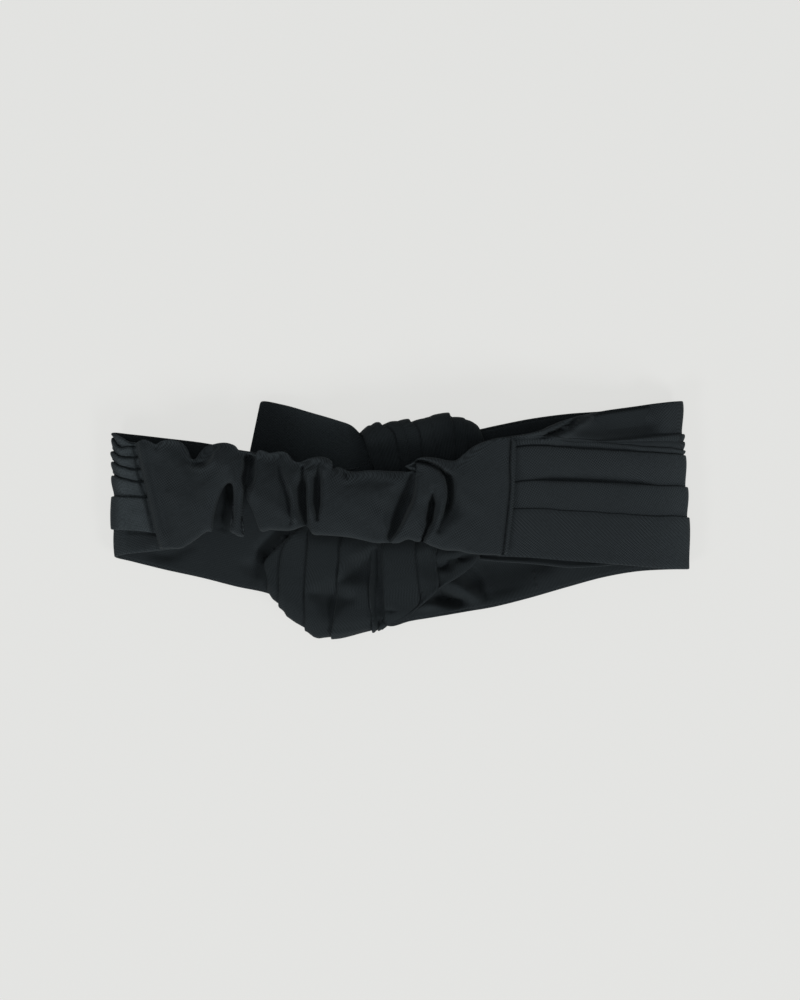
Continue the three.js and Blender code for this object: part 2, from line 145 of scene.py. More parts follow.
LINING_INSET = 0.9  # how far in from the band's edges the lining ends elsewhere
LINING_FROM = 26.5  # the row of BAND from which it shows past the low edge
LINING_GAP = 0.97  # how far its middle lies inside the inner face of the band
LINING_DEPTH = 2.4  # how deep the folds are, at most, that it follows
LINING_CURL = 1.8  # how high it curls up round the low edge where it shows
LINING_DIP = (0.4, 0.8)  # how far past that edge it dips, and over what width

# The folds of the knot's pleats, left to right: the low turn, the high turn, the middle of the
# front, and the line along which each crosses the inside of the band, as (y, x) places.
KNOT_FOLDS = [
    ((-54.2, -31.8), (-15.8, 36.6), -23,
     [(-30, -54), (-24, -54.5), (-20, -55.5), (-16.6, -55.7), (-13.6, -52.6), (-11, -49.4),
      (-8, -46.6), (-4, -42.5), (6, -28), (16, -7.8), (22, -10.5), (36, -15.8)]),
    ((-49.2, -36.4), (-11.8, 38.8), -17,
     [(-34, -48.9), (-30, -49.5), (-20, -49.3), (-14, -48.7), (-11, -47.8), (-8, -45.9),
      (-4, -41.6), (6, -25), (16, -3.5), (22, -6), (36, -10.5)]),
    ((-38.4, -46.4), (-8, 40.2), -11,
     [(-42, -38.4), (-36, -38.8), (-30, -38.9), (-20, -38.4), (-10, -37.6), (-3, -37), (6, -20),
      (16, 0.6), (25, -0.5), (34, -2.1), (38, -6)]),
    ((-27.6, -49.6), (-1, 41.4), -5,
     [(-45, -27.4), (-40, -27), (-35, -26), (-26, -25.5), (-20, -25), (-16, -24.4), (-7, -24),
      (6, -10), (16, 4.4), (25, 4.2), (34, 3.3), (39, 0)]),
    ((-10.6, -47.0), (4.3, 41.9), 1,
     [(-44.5, -10), (-42, -10.7), (-35, -12.2), (-30, -12.4), (-25, -12.2), (-20, -11.7),
      (-10, -11.4), (6, 0), (16, 9.1), (24.8, 8.9), (34.6, 8.5), (39.9, 5.5)]),
    ((-8.4, -46.2), (12, 42.8), 6,
     [(-44.4, -6.4), (-43, -5.6), (-35, -6.1), (-30, -6.5), (-20, -7), (-10, -7.3), (6, 6),
      (16, 15.7), (25, 15.5), (34, 15), (40, 12.5)]),
    ((-7, -45.9), (20.6, 44.2), 11,
     [(-43.5, -5), (-42, -1.8), (-40, 1.8), (-38, 5), (-36, 7.2), (-34, 8.2), (-25, 7.2),
      (-20, 6.5), (-14, 6), (-8.5, 5.8), (6, 14), (16, 22.6), (30.8, 22.5), (43, 21.7)]),
    ((-6.4, -45.7), (27, 42.4), 16,
     [(-43.5, -4.5), (-42, -1.2), (-40, 2.5), (-38, 5.7), (-36, 8.3), (-32, 12.8), (-28, 16),
      (-25, 15.8), (-20, 15.2), (-14, 14.6), (6, 21), (16, 28), (30, 28), (36, 27.5), (40, 27)]),
    ((-5.8, -45.4), (32.4, 38.8), 21,
     [(-43.5, -3.8), (-42, -0.4), (-40, 3.4), (-38, 6.2), (-36, 8.6), (-33.6, 10.4), (-30, 15.2),
      (-28.3, 16.8), (-27.5, 19), (-25.5, 22), (-22.5, 26), (-19.8, 30), (-17.2, 32.3), (0, 36),
      (24, 37), (30, 35.6), (36, 33)]),
]
# Which way its inner folds turn, and how far: low on the inside, and over the high edge.
KNOT_TURNS = [-1, -1, -1, -1, -1, 1, 1]
KNOT_HIGH_TURNS = [0.12, 0.6, 0.1, 0.5, 0.1, 0.55, 0.15]

# The way round the knot: how far from the low turn to the high one, how far towards the middle
# of the front (None on the inside), the height over the band's inner face, how much the wound
# cloth adds there, and how far the folds have turned from their low way to their high one.
KNOT_RING = [
    (0, 0, 0, 0, 0), (0.04, None, 2.2, 0, 0), (0.1, None, 2.2, 0, 0), (0.18, None, 2.2, 0, 0),
    (0.26, None, 2.2, 0, 0), (0.34, None, 2.2, 0, 0), (0.42, None, 2.2, 0, 0),
    (0.5, None, 2.2, 0, 0.3), (0.6, None, 2.2, 0, 0.7), (0.7, None, 2.2, 0, 1),
    (0.8, None, 2.2, 0, 1), (0.88, None, 2.2, 0, 1), (0.96, None, 2.2, 0, 1),
    (1, 0, -0.6, 0, 1), (0.965, 0.1, -5.0, 1.2, 1.2), (0.82, 0.5, -6.4, 4.8, 2),
    (0.66, 0.85, -6.6, 6.8, 2), (0.5, 1, -6.6, 7.3, 2), (0.34, 0.85, -6.4, 6.9, 2),
    (0.18, 0.5, -5.4, 4.8, 1), (0.035, 0.1, -3.8, 1.2, 0.2),
]
KNOT_LOW_OUTLINE = [
    (-54.2, -31.4), (-52.5, -33.8), (-49.5, -36.2), (-48, -37.1), (-46.6, -39.7), (-43, -43),
    (-40, -45.3), (-37.5, -46.9), (-35.3, -48.9), (-33.5, -49.7), (-29, -49.9), (-24, -49.3),
    (-16, -47.9), (-10.6, -47.0), (-5.8, -45.4),
]
KNOT_HIGH_OUTLINE = [
    (-15.8, 37.6), (-13, 39.2), (-10, 40.2), (-8, 40.4), (-7.4, 39.8), (-4, 41), (3.8, 42),
    (4.6, 41.2), (6, 41.6), (10, 42.2), (14, 43.8), (20.6, 44.6), (21.4, 43.4), (26.5, 42.8),
    (29, 41.4), (32.4, 39),
]
KNOT_TURN = 2.6  # how far in from the outlines the lines of the wound cloth turn
KNOT_LOW_ROW, KNOT_HIGH_ROW = 0, 13  # the rows of KNOT_RING at its low and its high turn
KNOT_REACH = 1.3  # how many rows from a turn its outline still pulls on the cloth
KNOT_SQUEEZE = 0.55  # what share of the wound cloth's thickness is lost at the strip's two edges
# The dents are only on the inside: from which row and to which row they show, and over how many
# rows they come up and end.
KNOT_INSIDE = [(0.15, 0.5), (12.5, 0.8)]

# The two edges of the elastic casing, left to right, in pairs of places that face each other.
CASING_EDGES = [
    ((-99.3, -11.9), (-109.2, 31.4)), ((-96.4, -12), (-107.3, 32.7)),
    ((-94, -11.9), (-105.8, 33.2)), ((-91.5, -12.2), (-102.8, 32.2)),
    ((-89.8, -11.7), (-100.6, 31.2)), ((-88, -10.9), (-98.4, 32.5)), ((-86.4, -9.9), (-96, 33)),
    ((-84.6, -8.7), (-93, 32.9)), ((-83, -7.6), (-90.8, 32.1)), ((-81.6, -6.5), (-89, 30.7)),
    ((-80.4, -5.6), (-87.8, 28.9)), ((-79.4, -5.1), (-86.9, 26.7)), ((-78.4, -5), (-85.9, 25.1)),
    ((-77.4, -4.9), (-84.7, 24.7)), ((-76.9, -3.4), (-83.7, 25.3)), ((-76.6, 0), (-82.5, 27.1)),
    ((-76, 3), (-81.2, 28.7)), ((-75.2, 6), (-79.8, 29.9)), ((-74, 9.6), (-78, 30.7)),
    ((-72.7, 12.6), (-76, 31.2)), ((-71.4, 14.3), (-74, 31.6)), ((-70, 15.1), (-72, 31.7)),
    ((-68.9, 14.4), (-70.4, 31.5)), ((-68.4, 12), (-69.2, 31.1)), ((-68.2, 8), (-68.2, 30.7)),
    ((-68.3, 3), (-67.4, 30.1)), ((-68.7, -1.2), (-66.9, 29.5)), ((-69.7, -3.5), (-66.3, 28.8)),
    ((-69.7, -4.9), (-65.8, 28.4)), ((-67.9, -5.9), (-65.2, 28.2)), ((-65.6, -7.1), (-64.6, 28.1)),
    ((-63.5, -6.7), (-64, 28)), ((-64.2, -4.9), (-63.5, 28)), ((-64.8, -1), (-63.1, 27.9)),
    ((-64.7, 4), (-62.8, 27.9)), ((-64.2, 9), (-62.5, 27.8)), ((-63.5, 13.4), (-62.1, 27.8)),
    ((-63, 14.6), (-61.6, 27.7)), ((-62.6, 13), (-61, 27.5)), ((-62.9, 10), (-60.4, 27.3)),
    ((-62.4, 7.6), (-59.8, 27)), ((-61, 5), (-59.3, 26.8)), ((-59.8, 2), (-58.9, 27)),
    ((-58.6, -1.4), (-58.4, 27.8)), ((-57.3, -4.5), (-57.6, 28.5)), ((-56.2, -5), (-56.6, 28.5)),
    ((-54.6, -4.7), (-55.4, 28.1)), ((-53, -4.2), (-54, 27.4)), ((-51, -4.4), (-52, 27.5)),
    ((-48.8, -4.5), (-50, 27.9)), ((-46.6, -4.6), (-48.2, 28)), ((-44.8, -4.5), (-46.8, 27.6)),
    ((-43, -4.1), (-45.6, 26.5)), ((-41.4, -3.5), (-44.4, 25)), ((-39.8, -2.9), (-43, 23.9)),
    ((-38.4, -2.6), (-41.4, 23.6)), ((-37.4, -3.2), (-39.4, 24.2)), ((-36.8, -4.4), (-37.4, 25.1)),
    ((-36, -5.6), (-35.2, 25.7)), ((-34.6, -6.3), (-33, 25.9)), ((-33, -6.4), (-31, 25.7)),
    ((-31.6, -6.4), (-29.4, 25.2)), ((-30.4, -6.5), (-28.2, 24.4)), ((-29.4, -6.5), (-27.5, 23.3)),
    ((-28.6, -6.6), (-27.6, 22)), ((-27.8, -6.6), (-27.6, 20.9)), ((-26.8, -6.7), (-26.6, 21.2)),
    ((-25.6, -6.8), (-25.3, 21.6)), ((-24.2, -6.9), (-23.9, 21.3)), ((-22.6, -7.1), (-22.4, 20.5)),
    ((-20, -7.4), (-20, 19.8)), ((-17, -8), (-17, 19.8)), ((-14, -8.7), (-14, 20.2)),
    ((-11, -9.4), (-11, 20.3)), ((-8, -9.7), (-8, 20.2)), ((-5.4, -9.5), (-5, 20)),
    ((-4, -9.5), (-2, 19.9)), ((-3.4, -9.5), (1, 19.8)), ((-3, -9.6), (3.4, 19.7)),
    ((-2.6, -9.7), (5.2, 19.8)), ((-2.2, -9.7), (6.5, 20.4)), ((-1.7, -9.7), (6.3, 21.2)),
    ((-1.2, -9.7), (4.4, 21.5)), ((-0.6, -9.6), (2.1, 21.9)), ((0, -9.5), (4.2, 22.9)),
    ((0.6, -9.2), (6, 23.8)), ((1.6, -8.8), (7.2, 25)), ((3, -8.2), (9.2, 25.6)),
    ((4.4, -8.2), (11, 25.7)), ((5.8, -8.7), (13, 25.6)), ((7.2, -9.1), (14.8, 25.4)),
    ((8.6, -9), (16.4, 25.1)), ((9.8, -9.2), (18, 24.7)), ((11.2, -9.9), (19.6, 24.4)),
    ((13, -10.8), (21.2, 24.2)), ((15, -11.5), (22.8, 24.3)), ((17, -12.2), (24.4, 25.2)),
    ((19.4, -12.7), (26, 26.6)), ((22, -12.7), (27.8, 28.1)), ((24.6, -12.9), (29.8, 29.7)),
    ((27.2, -13.6), (32, 31)), ((30, -14.1), (34.4, 32)), ((33, -14.3), (37, 32.8)),
    ((36, -14.4), (40, 33.5)), ((39, -14.5), (43, 33.9)), ((42, -14.6), (46, 33.4)),
    ((44.3, -13.6), (47.6, 31.5)),
]
# Where a row of the casing doesn't run straight from its low to its high edge, by row: the share
# of the way at which it bends, and how far to the right it is there. Else it bends nowhere.
CASING_NECKS = [
    (25, 0.2, 0), (26, 0.2, 0.3), (27, 0.24, 1.2), (28, 0.27, 1.4), (29, 0.29, 0.5),
    (30, 0.31, -0.6), (31, 0.31, -1.8), (32, 0.27, -1.2), (33, 0.18, -0.4), (34, 0.2, 0),
    (78, 0.92, 0), (79, 0.92, 0.2), (80, 0.92, 0.5), (81, 0.92, 0.9), (82, 0.92, 2.9),
    (83, 0.92, 5.2), (84, 0.92, 3.4), (85, 0.92, 1.9), (86, 0.92, 1.3), (87, 0.92, 0.3),
    (88, 0.92, 0),
]
# Along the casing, by the x of its middle: the height of its middle, and how far it puffs out
# above and below that.
CASING_SECTIONS = [
    (-104.5, 17.5, 0.6, 0.5), (-102, 18.1, 1.2, 0.8), (-97, 19.4, 2.0, 1.6), (-92, 20.8, 3.4, 3.4),
    (-88, 22.2, 4.4, 5.0), (-83, 23.8, 5.2, 7.5), (-78, 25.6, 5.4, 9.5), (-73, 27.3, 5.0, 8.5),
    (-68, 29.2, 5.0, 7.5), (-62, 30.8, 5.0, 7.5), (-56, 32.0, 5.8, 8.0), (-47, 33.2, 5.8, 7.0),
    (-40, 34.0, 5.2, 6.4), (-32, 34.3, 5.6, 5.6), (-20, 34.5, 6.0, 5.4), (-8, 34.6, 6.0, 5.4),
    (2, 34.6, 5.8, 5.2), (11, 34.6, 5.6, 5.0), (18, 34.7, 5.2, 4.8), (25, 35.0, 4.4, 4.0),
    (31, 35.4, 3.0, 2.6), (37, 35.6, 1.8, 1.4), (42, 35.1, 1.1, 0.8), (46.2, 34.1, 0.6, 0.5),
]
# From which x, and over how many millimetres, the casing lies flat at its right and left end, and
# where its right end bows to the right, and how far.
CASING_FLAT = [(26, 14), (-93, -8)]
CASING_BOW = (30, 14, 0.9)
# How its low and its high edge are made: how square their round is, and over which share of the
# width the puffs have sunk towards them. At the low edge they have sunk by the last number.
CASING_LOW, CASING_HIGH, CASING_LOW_FALL = (3, 0.4), (2, 0.8), 0.22
CASING_DROPS = [(0, 2.0), (-1, 0.5)]  # how much lower its first and its last row lie
CASING_DROP_REACH = 0.9  # over how many millimetres they do
CASING_LEAST = 0.95  # how thick it is at least
# How much narrower its round is, and how much calmer its surface, where it lies flat.
CASING_NARROW, CASING_CALM = 0.7, 0.75
CASING_SPACING = 0.66  # the distance between its rows, in millimetres
DOWN_WEAVE = (0.4, -0.8)  # how far the weave moves on for each millimetre that a tube turns down

# Folds drawn on the cloth: how deep each is (a ridge where negative), how wide on its left or
# lower side and on its right or upper side, how square its floor is, and the line that it
# follows, drawn downwards or to the right.
CASING_FOLDS = [
    (-1.0, 1.3, 1.7, 2, [(-107.3, 33), (-105.2, 20), (-102.8, 10), (-100.4, 0), (-97.8, -12)]),
    (1.0, 1.6, 2.8, 2, [(-104.4, 31), (-102.2, 20), (-99.8, 10), (-97.4, 0), (-95.2, -9)]),
    (2.6, 5.6, 5.0, 2, [(-97, 35), (-96.6, 25), (-96, 13)]),
    (6.2, 16, 20, 2, [(-103, 38), (-94, 36), (-84, 36), (-74, 38)]),
    (6.0, 20, 20, 2, [(-66, 30), (-54, 30), (-40, 30)]),
    (2.4, 1.2, 1.4, 2, [(-100.6, 33), (-100.2, 30), (-99.8, 27)]),
    (3.4, 1.7, 1.7, 2, [(-87, 26), (-84.8, 24.2), (-83, 23.5), (-81, 23.5), (-79.4, 24.4),
     (-78, 26.2), (-76.6, 29)]),
    (-1.4, 1.5, 1.3, 2, [(-88, 23), (-86, 22.1), (-84, 21.4), (-82, 21.3), (-80.2, 21.7),
     (-78.4, 22.9), (-77, 24.8), (-75.4, 27.4)]),
    (1.2, 3, 3, 2, [(-89, 17), (-83, 16), (-78, 18)]),
    (-0.8, 3, 3, 2, [(-72.5, 29), (-72, 18)]),
    (6.6, 3.2, 3.0, 6, [(-61.4, 34), (-61.4, 27), (-61.5, 22), (-62.0, 17), (-62.9, 10)]),
    (9.6, 3.2, 2.8, 5, [(-61.2, 40), (-61.3, 33), (-61.6, 26), (-62, 18)]),
    (-0.9, 1.0, 1.0, 2, [(-65, 27.2), (-62.5, 26.9), (-60, 26)]),
    (4.6, 3.2, 0.8, 2, [(-49.7, 28), (-48.8, 22.5), (-48.1, 18), (-46.7, 14), (-45.4, 10),
     (-44.7, 6), (-44.1, -1)]),
    (3.0, 6.4, 1.2, 2, [(-50, 26), (-48.6, 20), (-47.2, 14), (-45.4, 7), (-44.8, -2)]),
    (2.0, 1.1, 1.0, 2, [(-55.6, 28), (-52.8, 25.8), (-49.6, 24.6)]),
    (-1.0, 1.2, 1.2, 2, [(-47.6, 28), (-46.7, 22), (-46, 18), (-44.6, 13), (-43.3, 8),
     (-42.9, 2), (-42.4, -2)]),
    (8.4, 3.9, 0.9, 2.2, [(-39.4, 21.4), (-38.9, 17), (-38.8, 12), (-38.7, 5), (-38.2, 0),
     (-37.4, -4)]),
    (3.0, 3.4, 0.8, 2, [(-38.4, 5), (-38, 1), (-37.4, -2), (-36.7, -6)]),
    (6.4, 3.3, 0.9, 2.2, [(-32.7, 23.4), (-32.9, 17), (-33, 12), (-33, 6), (-33.4, 0.4)]),
    (1.8, 2.8, 2.4, 2, [(-38.6, 20.6), (-36.6, 22), (-34, 22.7), (-30, 21.6)]),
    (-1.0, 0.8, 0.8, 2, [(-31.2, 19), (-30, 22), (-28.2, 24.4)]),
    (1.8, 1.1, 1.0, 2, [(-24.6, 22), (-23, 19.4), (-21.2, 16.4)]),
    (1.0, 2.4, 2.4, 2, [(-9.4, 10), (-8.4, 0), (-8, -10)]),
    (1.3, 3.0, 3.0, 2, [(-22, 14), (-12, 16.4), (-2, 15)]),
    (9.4, 5.8, 1.2, 2.4, [(6.6, 22.4), (6.2, 17), (5.7, 13), (4.8, 9), (3.5, 6), (1.9, 2.5),
     (0.3, -1), (-1.1, -4), (-3.1, -7), (-5, -11)]),
    (10.0, 1.6, 1.5, 3, [(13.7, 10.4), (13.4, 6), (12.9, 3), (12.2, -1), (11.4, -3.6)]),
    (7.0, 0.7, 0.7, 3, [(12.8, 1), (11.6, -2.8), (10.4, -6), (8.8, -10.4)]),
    (2.6, 3.0, 2.2, 2, [(13.8, 13), (13.4, 5), (12, -2), (9.8, -8)]),
    (9.5, 0.8, 2.1, 2.5, [(16.6, 20.6), (18.6, 18.4), (19.9, 15), (20.2, 12), (20, 8.6),
     (19.3, 5), (18.2, 1)]),
    (5.5, 0.8, 4.8, 2, [(18.6, 15), (19.9, 11), (19.9, 8.6), (19.1, 5), (17.7, 1), (15.6, -4)]),
    (7.5, 0.8, 0.8, 3, [(5.6, 24.6), (7.4, 24.2), (9.4, 23.9), (12, 23.3), (14.6, 22.2),
     (17, 20.4), (19, 17.4)]),
    (-0.9, 0.8, 0.9, 2, [(4, 24.5), (6, 25), (9, 25), (12, 24.7), (15, 23.8)]),
    (-0.8, 1.0, 1.0, 2, [(17.6, 11), (17.4, 5), (15.6, 0), (13.2, -5), (10.8, -9)]),
    (1.7, 0.75, 0.6, 2, [(45.7, 35), (45.1, 22), (45.3, 15), (44.5, 5), (43.6, -3), (41.9, -18)]),
]

FOLD_TAPER = 2.4  # over how many of its widths a drawn fold tapers off at its ends
FOLD_END_WIDTH, FOLD_END_DEPTH = 0.35, 0.4  # what is left of its width and depth there

# The same on the top layer of the band, right and left, and on its front with its lining.
BACK_FOLDS = [
    (1.7, 0.45, 3.0, 2, [(-110.0, 35), (-107.9, 20), (-105.2, 10), (-102.7, 0), (-99.8, -14)]),
    (3.2, 7.5, 0.5, 2, [(-122, -4.1), (-118, -4.4), (-110, -5.2), (-103, -6.0), (-98, -6.6)]),
    (4.2, 0.6, 0.6, 2, [(-124, -4.4), (-118, -4.7), (-110, -5.3), (-103, -6), (-96, -6.6)]),
    (1.5, 0.5, 3.2, 2, [(56, 16.4), (70, 16.2), (80, 15.9), (90, 15.4), (104, 14.5)]),
    (0.8, 0.6, 2.6, 2, [(66, 30.6), (75, 30.1), (86, 29.4), (98, 28.6)]),
    (-3.2, 1.9, 1.0, 2, [(58, 32.6), (66, 35.3), (70, 37), (74, 39.5), (78, 41.7), (82, 43.6)]),
    (4.6, 1.0, 1.0, 2, [(60, 34.6), (67, 37.2), (71, 39.3), (76, 42.2), (79, 43.8)]),
    (-2.4, 1.3, 1.1, 2, [(50, 34.0), (56, 36.2), (62, 38.4), (68, 40.9), (73, 42.8)]),
    (1.4, 1.1, 1.4, 2, [(78, 33), (86, 33), (92, 33.5), (100, 34.5), (107, 35.4), (119, 36)]),
    (5.2, 4.4, 7, 2, [(68, 37.6), (78, 37.6), (88, 38.2), (98, 39.4), (108, 41), (124, 42)]),
    (8.6, 9.0, 14, 2, [(60, 40), (74, 44), (86, 45.5), (98, 47), (124, 50)]),
    (0.6, 1.6, 1.6, 2, [(-107, 7), (-105.6, 3), (-104.6, -1)]),
    (-0.8, 2.4, 2.4, 2, [(-110.6, 3), (-104, 1.6)]),
]
FRONT_FOLDS = [
    (4.4, 2.4, 3.4, 2, [(-73.0, 18), (-73.2, 6), (-73.4, -4)]),
    (9.6, 3.2, 3.5, 2, [(10, -28.4), (16, -31.4), (22, -34), (27, -36), (33, -38.2)]),
    (-2.4, 1.5, 1.8, 2, [(20, -26), (27, -30), (32, -36)]),
    (7.6, 4.4, 4.4, 2, [(22, -16), (28, -21.4), (32.4, -26), (36, -33)]),
    (7.6, 12.0, 6.0, 2, [(20, -20), (32, -18.5), (44, -17.5), (62, -17)]),
    (6.4, 8.0, 6.0, 2, [(-40, -29.5), (-28.5, -31.5), (-16, -33)]),
    (5.6, 8.0, 3.6, 2, [(-28, -28), (-18.6, -19.8), (-15, -16.2), (-9, -9.4)]),
    (-1.8, 1.6, 1.8, 2, [(7, -36.8), (15, -35.8), (24, -38.6)]),
    (8.4, 2.8, 3.2, 2.4, [(-58.4, -21), (-54.6, -13.6), (-49.6, -8.8), (-41, -2)]),
    (3.0, 4.0, 5.0, 2, [(-60, -26), (-58.5, -20), (-57, -14)]),
    (2.2, 4.0, 5.0, 2, [(-114, -15), (-100, -15.4), (-86, -11)]),
    (1.6, 0.7, 0.7, 2, [(55.2, -20), (55.8, -22), (56.5, -25), (56.9, -28.4)]),
    (-0.5, 1.0, 1.2, 2, [(56.6, -20), (57.6, -24), (58.6, -30)]),
]
KNOT_DENTS = [
    (3.6, 4.8, 6.0, 2, [(-50, -3), (-38, -1), (-34, -3), (-24, -4), (-10, -6.4), (4, -5.4),
     (16, -8.6), (30, -11)]),
    (2.0, 4.6, 2.2, 2, [(-27.6, -24), (-28, -34), (-28.8, -46)]),
    (5.2, 7.0, 5.2, 2, [(-36, -30), (-28.5, -31.5), (-20, -32.5)]),
    (5.6, 7.0, 2.6, 2, [(-24.6, -25), (-18.6, -19.8), (-15, -16.2), (-12, -12.4)]),
    (4.6, 2.6, 2.2, 2, [(15, -21), (20, -17.8), (24.4, -15.6)]),
    (4.0, 1.5, 1.6, 2, [(22.8, -17.2), (27, -15.5), (31, -14.6)]),
    (3.8, 2.6, 2.3, 4, [(-10, -4), (-9.6, -18), (-9.2, -28), (-8.6, -44)]),
    (2.6, 5.0, 1.6, 2, [(12, -7), (13.4, -18), (15, -28)]),
    (1.4, 0.8, 0.8, 2, [(-11.6, -41.3), (-9.5, -40.4), (-7, -41.3), (-5, -42.5)]),
    (1.2, 0.9, 0.9, 2, [(-6, -37.3), (-3.6, -37.7), (-1.4, -38)]),
    (1.8, 0.8, 0.6, 2, [(-34, -48.6), (-30, -47.5), (-26.8, -47.2), (-18, -46.3), (-9.6, -45.1)]),
    (-0.8, 0.9, 0.9, 2, [(-32, -46.8), (-28, -45.8), (-24, -45.7), (-18, -45.1), (-10.6, -44.1)]),
]

# The tail, from its free end to its root inside the knot: x, low and high edge, z, and lean.
TAIL = [
    (-62.5, 6.8, 47.6, 3.0, 8.6), (-61.8, 5.2, 49.0, 3.1, 8.5), (-50, 5.4, 47.6, 5.4, 4),
    (-38, 6.5, 44.6, 8.4, 1), (-26, 9, 41.2, 11, 0), (-20, 11.5, 39, 12.3, 0),
    (-14, 13, 34, 12.7, 0), (8, 14, 27, 12.7, 0),
]
TAIL_SPACING = 0.8  # the distance between its rows, in millimetres
TAIL_ROUND = 1.1  # how far in from its edges it is rounded
TAIL_EDGE, TAIL_PUFF = 0.42, 0.75  # half its thickness at its edges, and how far it puffs out
# Painted light on the tail, by x: its middle, where it rises towards the knot, is painted lighter.
TAIL_LIGHT_PAINT = [(-56, 0.05), (-48, 0.2), (-40, 0.6), (-30, 0.9), (-22, 0.8), (-16, 0.4)]  # by x

# The rows of stitches that show: the piece of cloth, and the line they follow.
STITCH_ROWS = [
    ("elastic_casing_cloth",
     [(45.7, 32.4), (45.15, 22), (45.3, 15), (44.5, 5), (43.6, -3), (42.6, -12.6)]),
    ("band_lining_cloth", [(55.5, -20.6), (56.2, -24), (57, -29)]),
]

# The unevenness of each thing, as ripples: how high in millimetres, the size of their waves, and
# the seed of their random draws.
RIPPLES = {
    "band_folds": [(0.25, 34, 3)], "band": [(0.16, 22, 5)], "lining": [(0.12, 26, 9)],
    "casing": [(0.35, 13, 21), (0.12, 5, 22)], "casing_weave": [(0.35, 9, 55)],
    "knot": [(0.2, 17, 31)], "tail": [(0.35, 30, 41)],
}
CONTRASTS = {"outer": 1.0, "lining": 0.4, "knot": 0.6}


# ---------------------------------------------------------------------------------------------
# Settings
# ---------------------------------------------------------------------------------------------

def length(name, description, default, low=0.0):
    """A length in metres that a user can change."""
    return bpy.props.FloatProperty(
        name=name, description=description, default=default, min=low, precision=5,
        subtype="DISTANCE", unit="LENGTH")


def colour(name, description, default):
    """A colour that a user can change."""
    return bpy.props.FloatVectorProperty(
        name=name, description=description, default=default, min=0.0, max=1.0, size=3,
        subtype="COLOR")


def number(name, description, default, low=0.0, high=1.0):
    """A plain number that a user can change."""
    return bpy.props.FloatProperty(
        name=name, description=description, default=default, min=low, max=high)


class TwillSettings(bpy.types.PropertyGroup):
    """The cloth."""
    outer: colour("Black twill", "Colour of the outer cloth", (0.0137, 0.0170, 0.0190))
    # The knot's colour is a darker copy of the outer twill: painted shade, for the shade that the
    # wrap and the tail lie in.
    knot: colour("Knot twill", "Colour of the outer cloth on the knot, cut on the cross",
                 (0.0112, 0.0142, 0.0158))
    lining: colour("Lining twill", "Colour of the lining", (0.0122, 0.0154, 0.0172))
    thread: colour("Thread", "Colour of the sewing thread", (0.0155, 0.0190, 0.0205))
    check: number("Check", "How much the light and dark threads of the twill differ", 0.85)
    thickness: length("Thickness", "Thickness of the cloth", 0.0005, 0.0001)
    pitch: length("Twill pitch", "Distance between two diagonal ribs of the twill", 0.00092, 0.0002)
    angle: bpy.props.FloatProperty(
        name="Twill angle", description="Angle of the ribs to the length of the cloth",
        default=math.radians(60), subtype="ANGLE", unit="ROTATION")
    relief: length("Rib relief", "Height of the ribs", 0.00016)
    roughness: number("Roughness", "Roughness of the cloth", 0.82)
    sheen: number("Sheen", "Soft light that the fibres catch at a low angle", 0.03)


class PleatSettings(bpy.types.PropertyGroup):
    """The knife pleats of the band and the knot."""
    foot: length("Foot height", "Height of the lowest layer of a pleat over the inner face", 0.001)
    crest: length("Fold height", "Height of a pleat's fold over the inner face", 0.0023)
    underlap: length("Underlap", "How far a pleat is tucked under its neighbour", 0.005)
    hem: length("Hem", "Width of the turned-in edge", 0.008)
    spacing: length("Row spacing", "Length of the mesh faces along the cloth", 0.00165, 0.0005)


class CasingSettings(bpy.types.PropertyGroup):
    """The gathered casing of the elastic."""
    wall: length("Wall", "Thickness of the casing's cloth", 0.00045, 0.0001)
    roll: length("High roll", "How far in from its high edge the casing is rounded", 0.0045, 0.001)
    low_roll: length("Low roll", "How far in from its low edge the casing is rounded", 0.0022,
                     0.001)
    fall: number("Fall", "How far its puffs have sunk at the high edge, as a share", 0.8)


class StitchSettings(bpy.types.PropertyGroup):
    """The rows of stitches."""
    stitch: length("Stitch", "Length of a stitch", 0.0021, 0.0005)
    gap: length("Gap", "Gap between two stitches", 0.0009, 0.0001)
    thread: length("Thread", "Half the thickness of the thread", 0.00028, 0.00005)


class StageSettings(bpy.types.PropertyGroup):
    """The floor, the lights and the camera."""
    distance: length("Camera distance", "From the camera to the middle of the headband", 2.3, 0.5)
    view: length("View height", "Height of the view at the headband", 0.4138, 0.1)
    floor: colour("Floor", "Colour of the floor", (0.75, 0.752, 0.735))
    glow: number("Floor glow", "How evenly the floor is lit from below", 0.915, 0, 2)
    sky: number("Room light", "Even light from all round", 0.3, 0, 5)
    left: number("Left light", "Power of the soft light on the near left, in watts", 31, 0, 500)
    right: number("Right light", "Power of the soft light on the near right, in watts", 39, 0, 500)
    top: number("Top light", "Power of the soft light overhead, in watts", 12, 0, 500)


# ---------------------------------------------------------------------------------------------
# Shapes
# ---------------------------------------------------------------------------------------------

